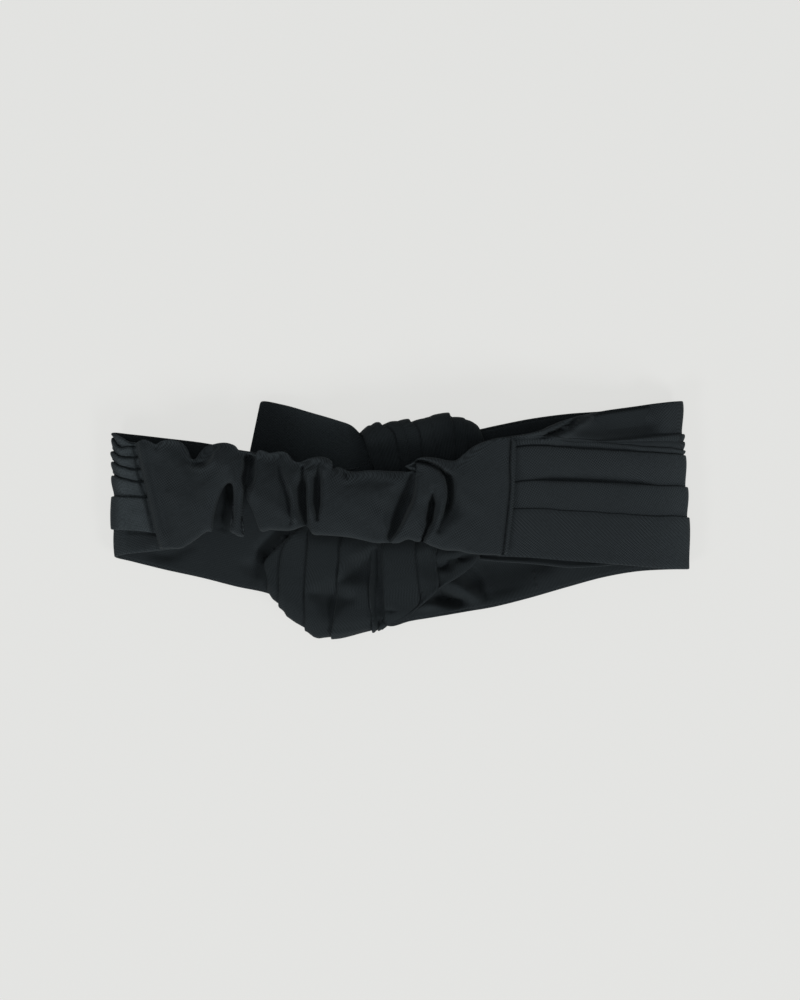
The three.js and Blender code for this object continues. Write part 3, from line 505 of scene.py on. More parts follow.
def follow(points, steps, closed=False):
    """Rows of points along smooth lines through the given rows, `points` being (rows, lines, 3)."""
    if closed:
        p0, p1, p2, p3 = (np.roll(points, -k, axis=0) for k in (-1, 0, 1, 2))
    else:
        ends = np.concatenate([[2 * points[0] - points[1]], points, [2 * points[-1] - points[-2]]])
        p0, p1, p2, p3 = ends[:-3], ends[1:-2], ends[2:-1], ends[3:]
    d0, d1, d2 = (
        np.sqrt(np.maximum(np.linalg.norm(b - a, axis=-1, keepdims=True), 1e-3))
        for a, b in ((p0, p1), (p1, p2), (p2, p3)))
    m1 = ((p1 - p0) / d0 - (p2 - p0) / (d0 + d1) + (p2 - p1) / d1) * d1
    m2 = ((p2 - p1) / d1 - (p3 - p1) / (d1 + d2) + (p3 - p2) / d2) * d1
    t = (np.arange(steps) / steps)[None, :, None, None]
    p1, p2, m1, m2 = (a[:, None] for a in (p1, p2, m1, m2))
    rows = (p1 * (2 * t**3 - 3 * t**2 + 1) + m1 * (t**3 - 2 * t**2 + t)
            + p2 * (3 * t**2 - 2 * t**3) + m2 * (t**3 - t**2))
    rows = rows.reshape(-1, *points.shape[1:])
    return rows if closed else np.concatenate([rows, points[-1:]])


def even_rows(points, spacing, closed=False, steps=12, bend=2.5):
    """Rows spread evenly along smooth lines through the given points, and the table row of each.
    bend says how much closer they are where the lines bend."""
    fine = follow(points, steps, closed)
    if closed:
        fine = np.concatenate([fine, fine[:1]])
    hop = np.diff(fine, axis=0)
    size = np.linalg.norm(hop, axis=2)
    unit = hop / np.maximum(size, 1e-6)[..., None]
    turn = np.arccos(np.clip((unit[1:] * unit[:-1]).sum(2), -1, 1)).mean(1)
    run = np.concatenate([[0], np.cumsum(size.mean(1) + bend * np.concatenate([[0], turn]))])
    count = int(round(run[-1] / spacing))
    at = np.linspace(0, run[-1], count + 1)[: count if closed else count + 1]
    i = np.clip(np.searchsorted(run, at, side="right") - 1, 0, len(run) - 2)
    t = (at - run[i]) / (run[i + 1] - run[i])
    rows = fine[i] * (1 - t)[:, None, None] + fine[i + 1] * t[:, None, None]
    return rows, (i + t) / steps


def finer(rows, u, low, high, times):
    """The rows, with so many in place of each one between two rows of the table."""
    counts = np.where((u[:-1] < high) & (u[1:] > low), times, 1)
    at = np.concatenate([i + np.arange(n) / n for i, n in enumerate(counts)] + [[len(u) - 1]])
    i = np.clip(at.astype(int), 0, len(u) - 2)
    t = at - i

    def between(a):
        """The values of an array at those places."""
        return a[i] + (a[i + 1] - a[i]) * t.reshape(-1, *[1] * (a.ndim - 1))

    return between(rows), between(u)


def row_normals(points, closed=False):
    """The direction out of a strip at each of its points: across it, times along it."""
    if closed:
        along = np.roll(points, -1, axis=0) - np.roll(points, 1, axis=0)
    else:
        along = np.gradient(points, axis=0)
    across = (points[:, -1] - points[:, 0])[:, None]
    normal = np.cross(np.broadcast_to(across, along.shape), along)
    return normal / np.linalg.norm(normal, axis=2, keepdims=True)


def place(points, normals, at, out):
    """Points of a strip at places counted in lines from its first one, and so far out of it."""
    last = points.shape[1] - 1
    i = np.clip(np.floor(at).astype(int), 0, last - 1)
    t = (at - i)[..., None]
    row = np.arange(len(points))[:, None]
    normal = normals[row, i] * (1 - t) + normals[row, i + 1] * t
    normal /= np.linalg.norm(normal, axis=2, keepdims=True)
    return points[row, i] * (1 - t) + points[row, i + 1] * t + normal * out[..., None]


def beside(x, y, line):
    """How far places lie from a drawn line, positive on its right or upper side, how far along
    it, as a share that goes below 0 and above 1 past its ends, and how long the line is."""
    path = follow(np.array([(px, py, 0) for px, py in line], float)[:, None], 5)[:, 0, :2]
    start, step = path[:-1], np.diff(path, axis=0)
    size = np.linalg.norm(step, axis=1)
    run = np.concatenate([[0], np.cumsum(size)])
    rel = np.stack([x, y], -1)[..., None, :] - start
    share = (rel * step).sum(-1) / size**2
    low = np.where(np.arange(len(size)) == 0, -9.0, 0.0)
    high = np.where(np.arange(len(size)) == len(size) - 1, 9.0, 1.0)
    off = rel - np.clip(share, 0, 1)[..., None] * step
    nearest = np.linalg.norm(off, axis=-1).argmin(-1)[..., None]

    def pick(a):
        """The value for the nearest part of the line."""
        return np.take_along_axis(a, nearest, -1)[..., 0]

    share = pick(np.clip(share, low, high))
    side = pick((step[:, 0] * rel[..., 1] - step[:, 1] * rel[..., 0]) / size)
    distance = pick(np.linalg.norm(off, axis=-1))
    along = (run[nearest[..., 0]] + share * size[nearest[..., 0]]) / run[-1]
    return np.copysign(distance, side), along, run[-1]


def drawn_folds(x, y, folds):
    """How deep a set of drawn folds is at each place. Each tapers off towards both its ends."""
    shape = np.shape(x)
    x, y = np.ravel(x), np.ravel(y)
    cut, ridge = np.zeros(len(x)), np.zeros(len(x))
    for deep, left, right, square, line in folds:
        px, py = np.array(line).T
        reach = 3 * max(left, right)  # further off than this it can't be told
        near = ((x > px.min() - reach) & (x < px.max() + reach)
                & (y > py.min() - reach) & (y < py.max() + reach))
        if not near.any():
            continue
        off, along, size = beside(x[near], y[near], line)
        over = np.maximum(np.maximum(-along, along - 1), 0) * size
        inside = np.clip(np.minimum(along, 1 - along) * size, 0, None)
        taper = inside / min(FOLD_TAPER * max(left, right), 0.5 * size)
        wide = np.where(off < 0, left, right) * smooth(taper, low=FOLD_END_WIDTH)
        fade = smooth(taper, low=FOLD_END_DEPTH)
        value = deep * fade * np.exp(-np.abs(off / wide) ** square - (over / wide) ** 2)
        if deep > 0:
            cut[near] = (cut[near] ** 4 + value**4) ** 0.25
        else:
            ridge[near] += value
    return (cut + ridge).reshape(shape)


def ripple(x, y, name, count=14):
    """The soft unevenness of a thing: so many waves of about the given size, in all directions."""
    x, y = np.broadcast_arrays(x, y)
    uneven = 0
    for high, size, seed in RIPPLES[name]:
        rng = np.random.default_rng(seed)
        total = np.zeros(x.shape)
        for _ in range(count):
            turn, phase = rng.uniform(0, 2 * math.pi, 2)
            pace = 2 * math.pi / (size * rng.uniform(0.7, 1.9))
            total += np.cos(pace * (x * math.cos(turn) + y * math.sin(turn)) + phase)
        uneven = uneven + high * (total / math.sqrt(2 * count))
    return uneven


def smooth(t, low=0.0):
    """A soft step from low to 1."""
    t = np.clip(t, 0, 1)
    return low + (1 - low) * (t * t * (3 - 2 * t))


def arc(count):
    """Angles of a half turn."""
    return np.linspace(0, math.pi, count)


def pleat_section(widths, turns, sizes, faces=9, bend=5, swell=0.25):
    """The section of a knife-pleated strip, one row for each row of the strip: places counted in
    lines, and heights. turns says which way each inner fold lies, from -1 to 1, and swell how far
    the cloth rises between two folds."""
    foot, crest, underlap, hem = sizes
    rows, panels = widths.shape
    middle, half = (foot + crest) / 2, (crest - foot) / 2
    r = half / 2
    at, out = [], []

    def add(line, offset, height):
        """Columns at so many millimetres from a line, counted in the panel on that side."""
        offset = np.broadcast_to(offset, (rows,))
        panel = np.where(offset < 0, max(line - 1, 0), min(line, panels - 1))
        at.append(line + offset / widths[np.arange(rows), panel])
        out.append(np.broadcast_to(height, (rows,)))

    def edge(line, side, height):
        """The turned-in edge of the strip: side is 1 at its low edge and -1 at its high one."""
        deep = np.minimum(hem, 0.6 * widths[:, 0 if side > 0 else -1])
        # Along the turned-in strip, and round its edge.
        columns = [(side * deep, -2 * r), (side * deep * 0.5, -2 * r), (side * 1.2 * r, -2 * r)]
        columns += [(side * r * (1 - math.sin(a)), -r - r * math.cos(a)) for a in arc(bend)]
        for offset, drop in columns[::side]:
            add(line, offset, height + drop)

    edge(0, 1, np.full(rows, foot))
    for panel in range(panels):
        start = foot if panel == 0 else middle - turns[:, panel] * half
        end = middle + turns[:, panel + 1] * half if panel < panels - 1 else crest
        for t in np.linspace(0, 1, faces + 2)[1:-1]:
            at.append(np.full(rows, panel + t))
            climb = smooth(t * 1.1 - 0.05)
            out.append(start + (end - start) * climb + swell * math.sin(math.pi * t))
        line = panel + 1
        if line == panels:
            break
        size, side = np.abs(turns[:, line]), np.where(turns[:, line] < 0, -1, 1)
        back = widths[np.arange(rows), np.where(side > 0, line - 1, line)]
        tuck = np.minimum(underlap, 0.8 * back)
        # Round the fold, back under it, and round its foot: how far from the line, what share of
        # the tuck further, and how high.
        fold = [(-r + r * math.sin(a), 0, half - r + r * math.cos(a)) for a in arc(bend)]
        fold += [(0, -0.35, 0.0), (0, -0.7, 0.0)]
        fold += [(r * (1 - math.sin(a)), -1, -half + r + r * math.cos(a)) for a in arc(bend)]
        for (near, far, height), (other_near, other_far, other_height) in zip(fold, fold[::-1]):
            offset = np.where(side > 0, near + far * tuck, -other_near - other_far * tuck)
            add(line, offset * size, middle + np.where(side > 0, height, other_height) * size)
    edge(panels, -1, np.full(rows, crest))
    return np.stack(at, 1), np.stack(out, 1)


# ---------------------------------------------------------------------------------------------
# Meshes and materials
# ---------------------------------------------------------------------------------------------

def cloth_lengths(grid, closed_rows, closed_columns):
    """The lengths along and across the cloth at each point of a grid, for its UV map."""
    rows = np.concatenate([grid, grid[:1]]) if closed_rows else grid
    full = np.concatenate([rows, rows[:, :1]], 1) if closed_columns else rows
    along = np.concatenate([np.zeros((1, full.shape[1])),
                            np.cumsum(np.linalg.norm(np.diff(full, axis=0), axis=2), axis=0)])
    reach = 10  # how many columns to each side the length along is evened out over
    window = np.ones(2 * reach + 1) / (2 * reach + 1)
    along = np.stack([np.convolve(np.pad(row, reach, mode="edge"), window, "valid")
                      for row in along])
    across = np.concatenate([np.zeros((len(full), 1)),
                             np.cumsum(np.linalg.norm(np.diff(full, axis=1), axis=2), axis=1)], 1)
    return np.stack([along, across], -1)


def cloth_piece(name, grid, material, wall, offset=0.0, closed_rows=False, closed_columns=False,
                down=None, painted_light=None):
    """A sheet of cloth over a grid of points in millimetres, given its thickness. Its weave follows
    the cloth. With down, how far a tube has turned down from its top, it runs straight across the
    tube instead, so that gathers don't squeeze it."""
    rows, columns = grid.shape[:2]
    r = np.arange(rows if closed_rows else rows - 1)[:, None]
    c = np.arange(columns if closed_columns else columns - 1)[None]
    corners = [(r, c), (r, c + 1), (r + 1, c + 1), (r + 1, c)]  # of each face
    faces = np.stack([(a % rows) * columns + b % columns for a, b in corners], -1).reshape(-1, 4)
    mesh = bpy.data.meshes.new(name)
    mesh.from_pydata((grid.reshape(-1, 3) * MM).tolist(), [], faces.tolist())
    if down is not None:
        ring, turned = (np.concatenate([a, a[:, :1]], 1) for a in (grid, down))
        uneven = ripple(ring[..., :1], ring[..., 1:2], "casing_weave")
        lengths = (ring[..., :2] + uneven + turned[..., None] * DOWN_WEAVE) * MM
    else:
        lengths = cloth_lengths(grid, closed_rows, closed_columns) * MM
    uv = np.stack([lengths[a, b] for a, b in corners], 2)
    mesh.uv_layers.new(name="cloth").data.foreach_set("uv", uv.reshape(-1).astype(np.float32))
    mesh.materials.append(material)
    # Painted light: how much lighter the cloth is painted at each point, kept as an attribute for
    # its material.
    if painted_light is not None:
        wear = np.broadcast_to(painted_light, (rows, columns)).astype(np.float32)
        mesh.attributes.new("wear", "FLOAT", "POINT").data.foreach_set("value", wear.ravel())
    piece = bpy.data.objects.new(name, mesh)
    bpy.context.scene.collection.objects.link(piece)
    activate(piece)
    solidify = piece.modifiers.new("wall", "SOLIDIFY")
    solidify.thickness, solidify.offset = wall, offset
    solidify.use_even_offset = False
    bpy.ops.object.modifier_apply(modifier=solidify.name)
    bpy.ops.object.shade_smooth()
    return piece


def activate(piece):
    """Selects one object alone and makes it the active one."""
    bpy.ops.object.select_all(action="DESELECT")
    piece.select_set(True)
    bpy.context.view_layer.objects.active = piece


def new_material(name):
    """A material, and the one plain shader that it starts with."""
    material = bpy.data.materials.new(name)
    material.use_nodes = True
    return material, material.node_tree.nodes["Principled BSDF"]


def fill(material, node, inputs):
    """Gives each input of a node a value, or joins it to another node's output."""
    for key, value in inputs.items():
        if isinstance(value, bpy.types.NodeSocket):
            material.node_tree.links.new(value, node.inputs[key])
        else:
            node.inputs[key].default_value = value


def add_node(material, kind, output, inputs, **settings):
    """Adds a node with its settings and inputs to a material, and returns one of its outputs."""
    node = material.node_tree.nodes.new("ShaderNode" + kind)
    for key, value in settings.items():
        setattr(node, key, value)
    fill(material, node, inputs)
    return node.outputs[output]


def shades(material, factor, base, contrast):
    """A darker and a lighter shade of a colour, mixed by a factor."""
    dark, light = ((*[share * c for c in base], 1) for share in (1 - contrast, 1 + contrast))
    return add_node(material, "Mix", "Result", {"Factor": factor, "A": dark, "B": light},
                    data_type="RGBA")


def twill(kind):
    """A matt twill: fine ribs and threads with a slightly uneven colour, along the cloth's UV map.
    Where the mesh carries an attribute of painted light, the cloth is painted lighter and its weave
    shows less."""
    name = kind + "_cloth"
    if name in bpy.data.materials:
        return bpy.data.materials[name]
    cloth = bpy.context.scene.headband_twill
    material, shader = new_material(name)
    uv = add_node(material, "UVMap", "UV", {}, uv_map="cloth")
    wear = add_node(material, "Attribute", "Fac", {}, attribute_name="wear")

    def wave(angle, pitch, **inputs):
        """Straight lines across the cloth, at an angle and so far apart."""
        turned = add_node(material, "Mapping", "Vector", {"Vector": uv, "Rotation": (0, 0, angle)})
        return add_node(material, "TexWave", "Fac", {
            "Vector": turned, "Scale": math.pi / 10 / pitch, **inputs})

    ribs = wave(cloth.angle, cloth.pitch, **{"Distortion": 0.6, "Detail": 1.0, "Detail Scale": 2.0})
    threads = wave(cloth.angle - math.radians(96), cloth.pitch * 0.85, Distortion=0.5)
    weave = add_node(material, "Mix", "Result", {"Factor": 0.55, "A": ribs, "B": threads},
                     data_type="FLOAT")
    bump = add_node(material, "Bump", "Normal", {
        "Height": weave, "Strength": 0.55, "Distance": cloth.relief})

    fibres = add_node(material, "TexNoise", "Fac", {
        "Vector": uv, "Scale": 900.0, "Detail": 3.0, "Roughness": 0.6})
    patches = add_node(material, "TexNoise", "Fac", {"Vector": uv, "Scale": 110.0, "Detail": 2.0})
    tone = add_node(material, "Mix", "Result", {"Factor": 0.25, "A": fibres, "B": patches},
                    data_type="FLOAT")
    uneven = add_node(material, "MapRange", "Result", {
        "Value": patches, "From Min": 0.35, "From Max": 0.65, "To Min": 0.35, "To Max": 0.95})
    # Painted light: the weave shows less where the cloth is painted lighter.
    weave_under_painted_light = add_node(material, "MapRange", "Result", {"Value": wear, "To Min": 1.0, "To Max": 0.4})
    share = add_node(material, "Math", "Value", {0: uneven, 1: weave_under_painted_light}, operation="MULTIPLY")
    shade = add_node(material, "Mix", "Result", {"Factor": share, "A": tone, "B": weave},
                     data_type="FLOAT")
    # Painted light: the colour is made up to 1.95 times lighter where the attribute says so.
    lighter = add_node(material, "Mix", "Result", {
        "Factor": wear, "A": shades(material, shade, getattr(cloth, kind),
                                    CONTRASTS[kind] * cloth.check),
        "B": (1.95, 1.95, 1.92, 1)}, data_type="RGBA", blend_type="MULTIPLY")
    fill(material, shader, {
        "Base Color": lighter, "Normal": bump, "Roughness": cloth.roughness,
        "Specular IOR Level": 0.06, "Sheen Weight": cloth.sheen, "Sheen Roughness": 0.6,
        "Sheen Tint": (0.85, 0.97, 1.0, 1.0)})
    return material


def sew(piece, node):
    """Puts a finished piece on the headband's one body, in place of its CAD node."""
    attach(piece, "root")
    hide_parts(node)


# ---------------------------------------------------------------------------------------------
# The band
# ---------------------------------------------------------------------------------------------

def band_rows(spacing, sections=BAND):
    """Rows of points on the lines of the band's pleat folds, and the table row of each."""
    x, z, low, high, lean, fan = np.array(sections).T
    lines = np.array([np.interp(fan, range(len(edge)), edge) for edge in PLEATS]).T
    y = low[:, None] + (high - low)[:, None] * lines
    points = np.stack([x[:, None] + lean[:, None] * (lines - 0.5), y,
                       np.broadcast_to(z[:, None], y.shape)], -1)
    return even_rows(points, spacing)


def pleat_sizes():
    """The pleats' sizes in millimetres."""
    pleats = bpy.context.scene.headband_pleats
    return [size / MM for size in (pleats.foot, pleats.crest, pleats.underlap, pleats.hem)]


def band_relief(grid, u):
    """How far the drawn folds of the band push its cloth in, on its back and on its front."""
    x, y = grid[..., 0], grid[..., 1]
    back = smooth((u - RIGHT_BACK_START) / FOLD_CHANGE) + smooth((LEFT_BACK_END - u) / FOLD_CHANGE)
    front = smooth((u - FRONT_START) / FOLD_CHANGE) * smooth((FRONT_END - u) / FOLD_CHANGE)
    deep = np.zeros(x.shape)
    for share, folds, side in ((back, BACK_FOLDS, 1), (front, FRONT_FOLDS, -1)):
        rows = share > 0
        inward = y[rows] - y[rows].min(1, keepdims=True)
        start, end = FRONT_EDGE
        edge = 1 if side > 0 else smooth((inward - start) / (end - start), low=FRONT_EDGE_SHARE)
        deep[rows] += side * share[rows, None] * edge * drawn_folds(x[rows], y[rows], folds)
    return deep


def pleated_band():
    """The band's outer cloth, with a true fold at every pleat."""
    points, u = band_rows(bpy.context.scene.headband_pleats.spacing / MM)
    points, u = finer(points, u, 0, 1.5, 3)  # at the left end, beside the casing
    folds = np.arange(len(PLEATS)) % (len(PLEATS) - 1) > 0  # all the lines but the two edges
    points[..., 1] += folds * ripple(
        points[..., 0], points[..., 2] + 40 * points[..., 1], "band_folds")
    normals = row_normals(points)
    widths = np.maximum(np.linalg.norm(np.diff(points, axis=1), axis=2), LEAST_WIDTH)
    turns = np.ones((len(u), len(PLEATS)))
    row, *ways = np.array(FOLD_TURNS).T
    turns[:, 1:-1] = np.stack([np.interp(u, row, way) for way in ways], 1)
    foot, crest, underlap, hem = pleat_sizes()
    crest = crest + np.interp(u, *np.array(FOLD_RISE).T)
    at, out = pleat_section(widths, turns, (foot, crest, underlap, hem))
    flat = place(points, normals, at, np.zeros(at.shape))
    out = out - band_relief(flat, u) + ripple(u[:, None] * 12, at * 9, "band")
    # Painted sheen: the band's two turns are painted lighter, more on some pleats than on others.
    painted_light = np.interp(u, *np.array(BAND_SHEEN_PAINT).T)[:, None] * np.ones(at.shape)
    for (first, last), line, span, before, after in SHEEN_PAINT_CHANGES:
        rows = (u >= first) & (u < last)
        painted_light[rows] *= before + (after - before) * smooth((at[rows] - line) / span)
    grid = place(points, normals, at, out)
    grid[..., 2] = np.maximum(grid[..., 2], FLOOR_GAP)
    return grid, painted_light


def band_lining():
    """The plain cloth inside the band. Its low edge shows past the pleats right of the casing."""
    points, u = band_rows(2.0, [*BAND, LINING_END])
    normals = row_normals(points)
    widths = np.linalg.norm(np.diff(points, axis=1), axis=2)
    proud = np.interp(points[:, 0, 0], *np.array(LINING_PROUD).T) * (u > LINING_FROM)
    low = (LINING_INSET - proud) / widths[:, 0]
    high = len(PLEATS) - 1 - LINING_INSET / widths[:, -1]
    strip = 0.12  # the share of the width, at the low edge, with closer columns
    t = np.concatenate([np.linspace(0, strip, 18)[:-1], np.linspace(strip, 1, 66)])[None]
    at = low[:, None] + (high - low)[:, None] * t
    flat = place(points, normals, at, np.zeros(at.shape))
    uneven = ripple(u[:, None] * 11, flat[..., 1], "lining")
    out = -LINING_GAP - np.minimum(band_relief(flat, u), LINING_DEPTH) - uneven
    # Where it shows past the low edge it curls up round it, with a dip along that edge.
    past = -at * widths[:, :1]
    shown = smooth(proud / 1.5)[:, None]
    curl = LINING_CURL * smooth(past / np.maximum(proud, 0.5)[:, None])
    centre, wide = LINING_DIP
    out = out + shown * (curl - np.exp(-((past - centre) / wide) ** 2))
    return place(points, normals, at, out)


# ---------------------------------------------------------------------------------------------
# The casing, the knot and the tail
# ---------------------------------------------------------------------------------------------

def flat_tube(rows, shape, across):
    """A flattened tube: shape gives the points of its upper and its lower face, for shares of the
    way across it, which lie closer together near its edges."""
    even = 0.62  # 1 would spread them evenly
    t = np.linspace(0, 1, across + 1)
    v = even * t + (1 - even) * (1 - np.cos(math.pi * t)) / 2
    upper, lower = shape(rows, v)
    return np.concatenate([upper[:, ::-1], lower[:, 1:-1]], 1)


def edge_distance(x, y, edge):
    """The distance from each place to an edge."""
    places = np.stack([x.ravel(), y.ravel()], 1)
    start, step = edge[:-1], np.diff(edge, axis=0)
    size = np.maximum((step**2).sum(1), 1e-9)
    gaps = []
    for part in np.array_split(places, 12):  # in parts, to spare the memory
        rel = part[:, None] - start
        share = np.clip((rel * step).sum(-1) / size, 0, 1)
        gaps.append(np.linalg.norm(rel - share[..., None] * step, axis=-1).min(1))
    return np.concatenate(gaps).reshape(x.shape)


def casing_faces(rows, v):
    """The upper and lower face of the casing, and how far each has turned down from the top."""
    settings = bpy.context.scene.headband_casing
    low, high, neck = (rows[:, k, :2] for k in range(3))
    before, after = (np.linalg.norm(a - b, axis=1) for a, b in ((neck, low), (high, neck)))
    share = (before / (before + after))[:, None, None]
    t = v[None, :, None]
    xy = np.where(t < share, low[:, None] + (neck - low)[:, None] * t / share,
                  neck[:, None] + (high - neck)[:, None] * (t - share) / (1 - share))
    start, span, far = CASING_BOW
    xy[..., 0] += (far * smooth((low[:, 0] - start) / span))[:, None] * (4 * v * (1 - v))[None]
    x, y = xy[..., 0], xy[..., 1]
    middle = (low[:, 0] + high[:, 0]) / 2
    along, *columns = np.array(CASING_SECTIONS).T
    z, top, under = (np.interp(middle, along, column)[:, None] for column in columns)
    flatness = sum(smooth((middle - start) / span) for start, span in CASING_FLAT)
    bulge, crown = np.ones(x.shape), np.ones(x.shape)
    wide = np.linalg.norm(high - low, axis=1)[:, None]
    for edge, roll, (power, reach), fall in (
            (low, settings.low_roll, CASING_LOW, CASING_LOW_FALL),
            (high, settings.roll, CASING_HIGH, settings.fall)):
        away = edge_distance(x, y, edge)
        inward = away / (roll / MM * (1 - CASING_NARROW * flatness)[:, None])
        bulge = np.minimum(bulge, (1 - (1 - np.minimum(inward, 1)) ** power) ** (1 / power))
        crown = crown * (1 - fall * (1 - np.minimum(away / (reach * wide), 1)) ** 2)
    bulge[:, [0, -1]] = 0
    deep = drawn_folds(x, y, CASING_FOLDS)
    for row, drop in CASING_DROPS:
        z = z - drop * np.exp(-((x - x[row]) / CASING_DROP_REACH) ** 2)
    soft = ripple(x, y, "casing")
    calm = (1 - CASING_CALM * np.clip(flatness, 0, 1))[:, None]
    upper = z + top * bulge * crown - bulge * deep + soft * bulge * calm
    lower = z - under * bulge + 0.5 * soft * bulge * calm
    lower = np.minimum(lower, upper - CASING_LEAST * np.minimum(1, bulge * 3))
    down, under_down = top * (1 - bulge), top + under * bulge
    return np.dstack([x, y, upper, down]), np.dstack([x, y, lower, under_down])


def elastic_casing():
    """The gathered tube of cloth round the elastic, and how far it has turned down from its top."""
    pairs = np.array([[(*low, 0), (*high, 0)] for low, high in CASING_EDGES], float)
    row, share, aside = np.array(CASING_NECKS).T
    share = np.interp(range(len(pairs)), row, share)[:, None]
    necks = pairs[:, 0] * (1 - share) + pairs[:, 1] * share
    necks[:, 0] += np.interp(range(len(pairs)), row, aside)
    pairs = np.concatenate([pairs, necks[:, None]], 1)
    rows, u = even_rows(pairs, CASING_SPACING, steps=6, bend=0)
    # Closer rows at its two ends, and at the pillar between its deepest gathers.
    for start, end, times in ((0, 1, 3), (len(pairs) - 3, len(pairs), 3), (25, 35, 2)):
        rows, u = finer(rows, u, start, end, times)
    tube = flat_tube(rows, casing_faces, 60)
    return tube[..., :3], tube[..., 3]


def front_height(x):
    """The height of the inner face of the band's front at a place along it."""
    front = np.array(BAND[slice(*FRONT_ROWS)])
    return np.interp(x, front[:, 0], front[:, 1])


def knot_rows(spacing):
    """Rows of points on the lines of the knot's pleat folds, round it from the low turn."""
    rise, middle, lift, swell, turned = zip(*KNOT_RING)
    points = np.zeros((len(KNOT_RING), len(KNOT_FOLDS), 3))
    for j, (low, high, front, inside) in enumerate(KNOT_FOLDS):
        path = np.array(inside)
        for i, r in enumerate(rise):
            y = (low[1] + KNOT_TURN) * (1 - r) + (high[1] - KNOT_TURN) * r
            if middle[i] is None:
                x = np.interp(y, path[:, 0], path[:, 1])
            else:
                x = low[0] * (1 - r) + high[0] * r
                x = x + (front - x) * middle[i]
            points[i, j] = (x, y, front_height(x) + lift[i])
    rows, u = even_rows(points, spacing, closed=True)
    rows, u = finer(rows, u, 0, 1.6, 2)  # round the low turn
    ring = np.arange(len(KNOT_RING) + 1)
    swell = np.interp(u, ring, swell + swell[:1])
    turned = np.interp(u, ring, turned + turned[:1])
    return rows, u, swell, turned


def knot_wrap():
    """The pleated strip wound round the front of the band."""
    rows, u, swell, turned = knot_rows(spacing=1.3)
    normals = row_normals(rows, closed=True)
    widths = np.maximum(np.linalg.norm(np.diff(rows, axis=1), axis=2), LEAST_WIDTH)
    turns = np.ones((len(u), len(KNOT_FOLDS)))
    ways = np.array([KNOT_TURNS, KNOT_HIGH_TURNS, np.ones(len(KNOT_TURNS))])
    turns[:, 1:-1] = np.array([np.interp(turned, range(3), way) for way in ways.T]).T
    at, out = pleat_section(widths, turns, pleat_sizes())
    edge = (2 * at / (len(KNOT_FOLDS) - 1) - 1) ** 4  # 0 in the middle of the strip, 1 at its edges
    flat = place(rows, normals, at, np.zeros(at.shape))
    (first, rise), (last, fall) = KNOT_INSIDE
    inside = smooth((u - first) / rise) * smooth((last - u) / fall)
    out = out + swell[:, None] * (1 - KNOT_SQUEEZE * edge)
    out = out - inside[:, None] * drawn_folds(flat[..., 0], flat[..., 1], KNOT_DENTS)
    out = out + ripple(at * 9, u[:, None] * 9, "knot")
    grid = place(rows, normals, at, out)
    # Its turns are pulled to their outlines.
    lows, highs = ([fold[k] for fold in KNOT_FOLDS] for k in range(2))
    for outline, ends, row in (
            (KNOT_LOW_OUTLINE, lows, KNOT_LOW_ROW), (KNOT_HIGH_OUTLINE, highs, KNOT_HIGH_ROW)):
        x, y = grid[..., 0], grid[..., 1]
        change = np.interp(x, *np.array(outline).T) - np.interp(x, *np.array(ends).T)
        off = np.minimum(np.abs(u - row), len(KNOT_RING) - np.abs(u - row))[:, None]
        grid[..., 1] = y + change * np.exp(-((off / KNOT_REACH) ** 2))
    grid[..., 2] = np.maximum(grid[..., 2], FLOOR_GAP)
    return grid


def tail_faces(rows, v):
    """The upper and lower face of the tail."""
    low, high = rows[:, 0], rows[:, 1]
    xyz = low[:, None] + (high - low)[:, None] * v[None, :, None]
    x, y = xyz[..., 0], xyz[..., 1]
    wide = (high - low)[:, 1:2]
    from_end = np.arange(len(rows))[:, None] * TAIL_SPACING
    inward = np.minimum(np.minimum(v, 1 - v)[None] * wide, from_end)
    bulge = np.sqrt(np.clip(1 - (1 - np.minimum(inward / TAIL_ROUND, 1)) ** 2, 0, 1))
    z = xyz[..., 2] + ripple(x, y, "tail") * np.minimum(1, from_end / 8)
    thick = TAIL_EDGE + TAIL_PUFF * bulge
    return np.dstack([x, y, z + thick]), np.dstack([x, y, z - thick])


def knot_tail():
    """The plain folded tail that stands out of the knot, and the painted light on it."""
    x, low, high, z, lean = np.array(TAIL).T
    pairs = np.stack([np.stack([x - lean / 2, low, z], 1), np.stack([x + lean / 2, high, z], 1)], 1)
    rows, _ = even_rows(pairs, TAIL_SPACING, bend=0)
    # Painted light: how much lighter each row of the tail is painted.
    painted_light = np.interp(rows[:, :, 0].mean(1), *np.array(TAIL_LIGHT_PAINT).T)[:, None]
    return flat_tube(rows, tail_faces, 44), painted_light


# ---------------------------------------------------------------------------------------------
# The stitches
# ---------------------------------------------------------------------------------------------

def thread():
    """Sewing thread: a fine twist along each stitch."""
    material, shader = new_material("sewing_thread")
    coordinates = add_node(material, "TexCoord", "Object", {})
    twist = add_node(material, "TexWave", "Fac", {"Vector": coordinates, "Scale": 900.0},
                     bands_direction="DIAGONAL")
    bump = add_node(material, "Bump", "Normal", {
        "Height": twist, "Strength": 0.4, "Distance": 0.05 * MM})
    fill(material, shader, {
        "Base Color": shades(material, twist, bpy.context.scene.headband_twill.thread, 0.3),
        "Normal": bump, "Roughness": 0.7, "Specular IOR Level": 0.1})
    return material


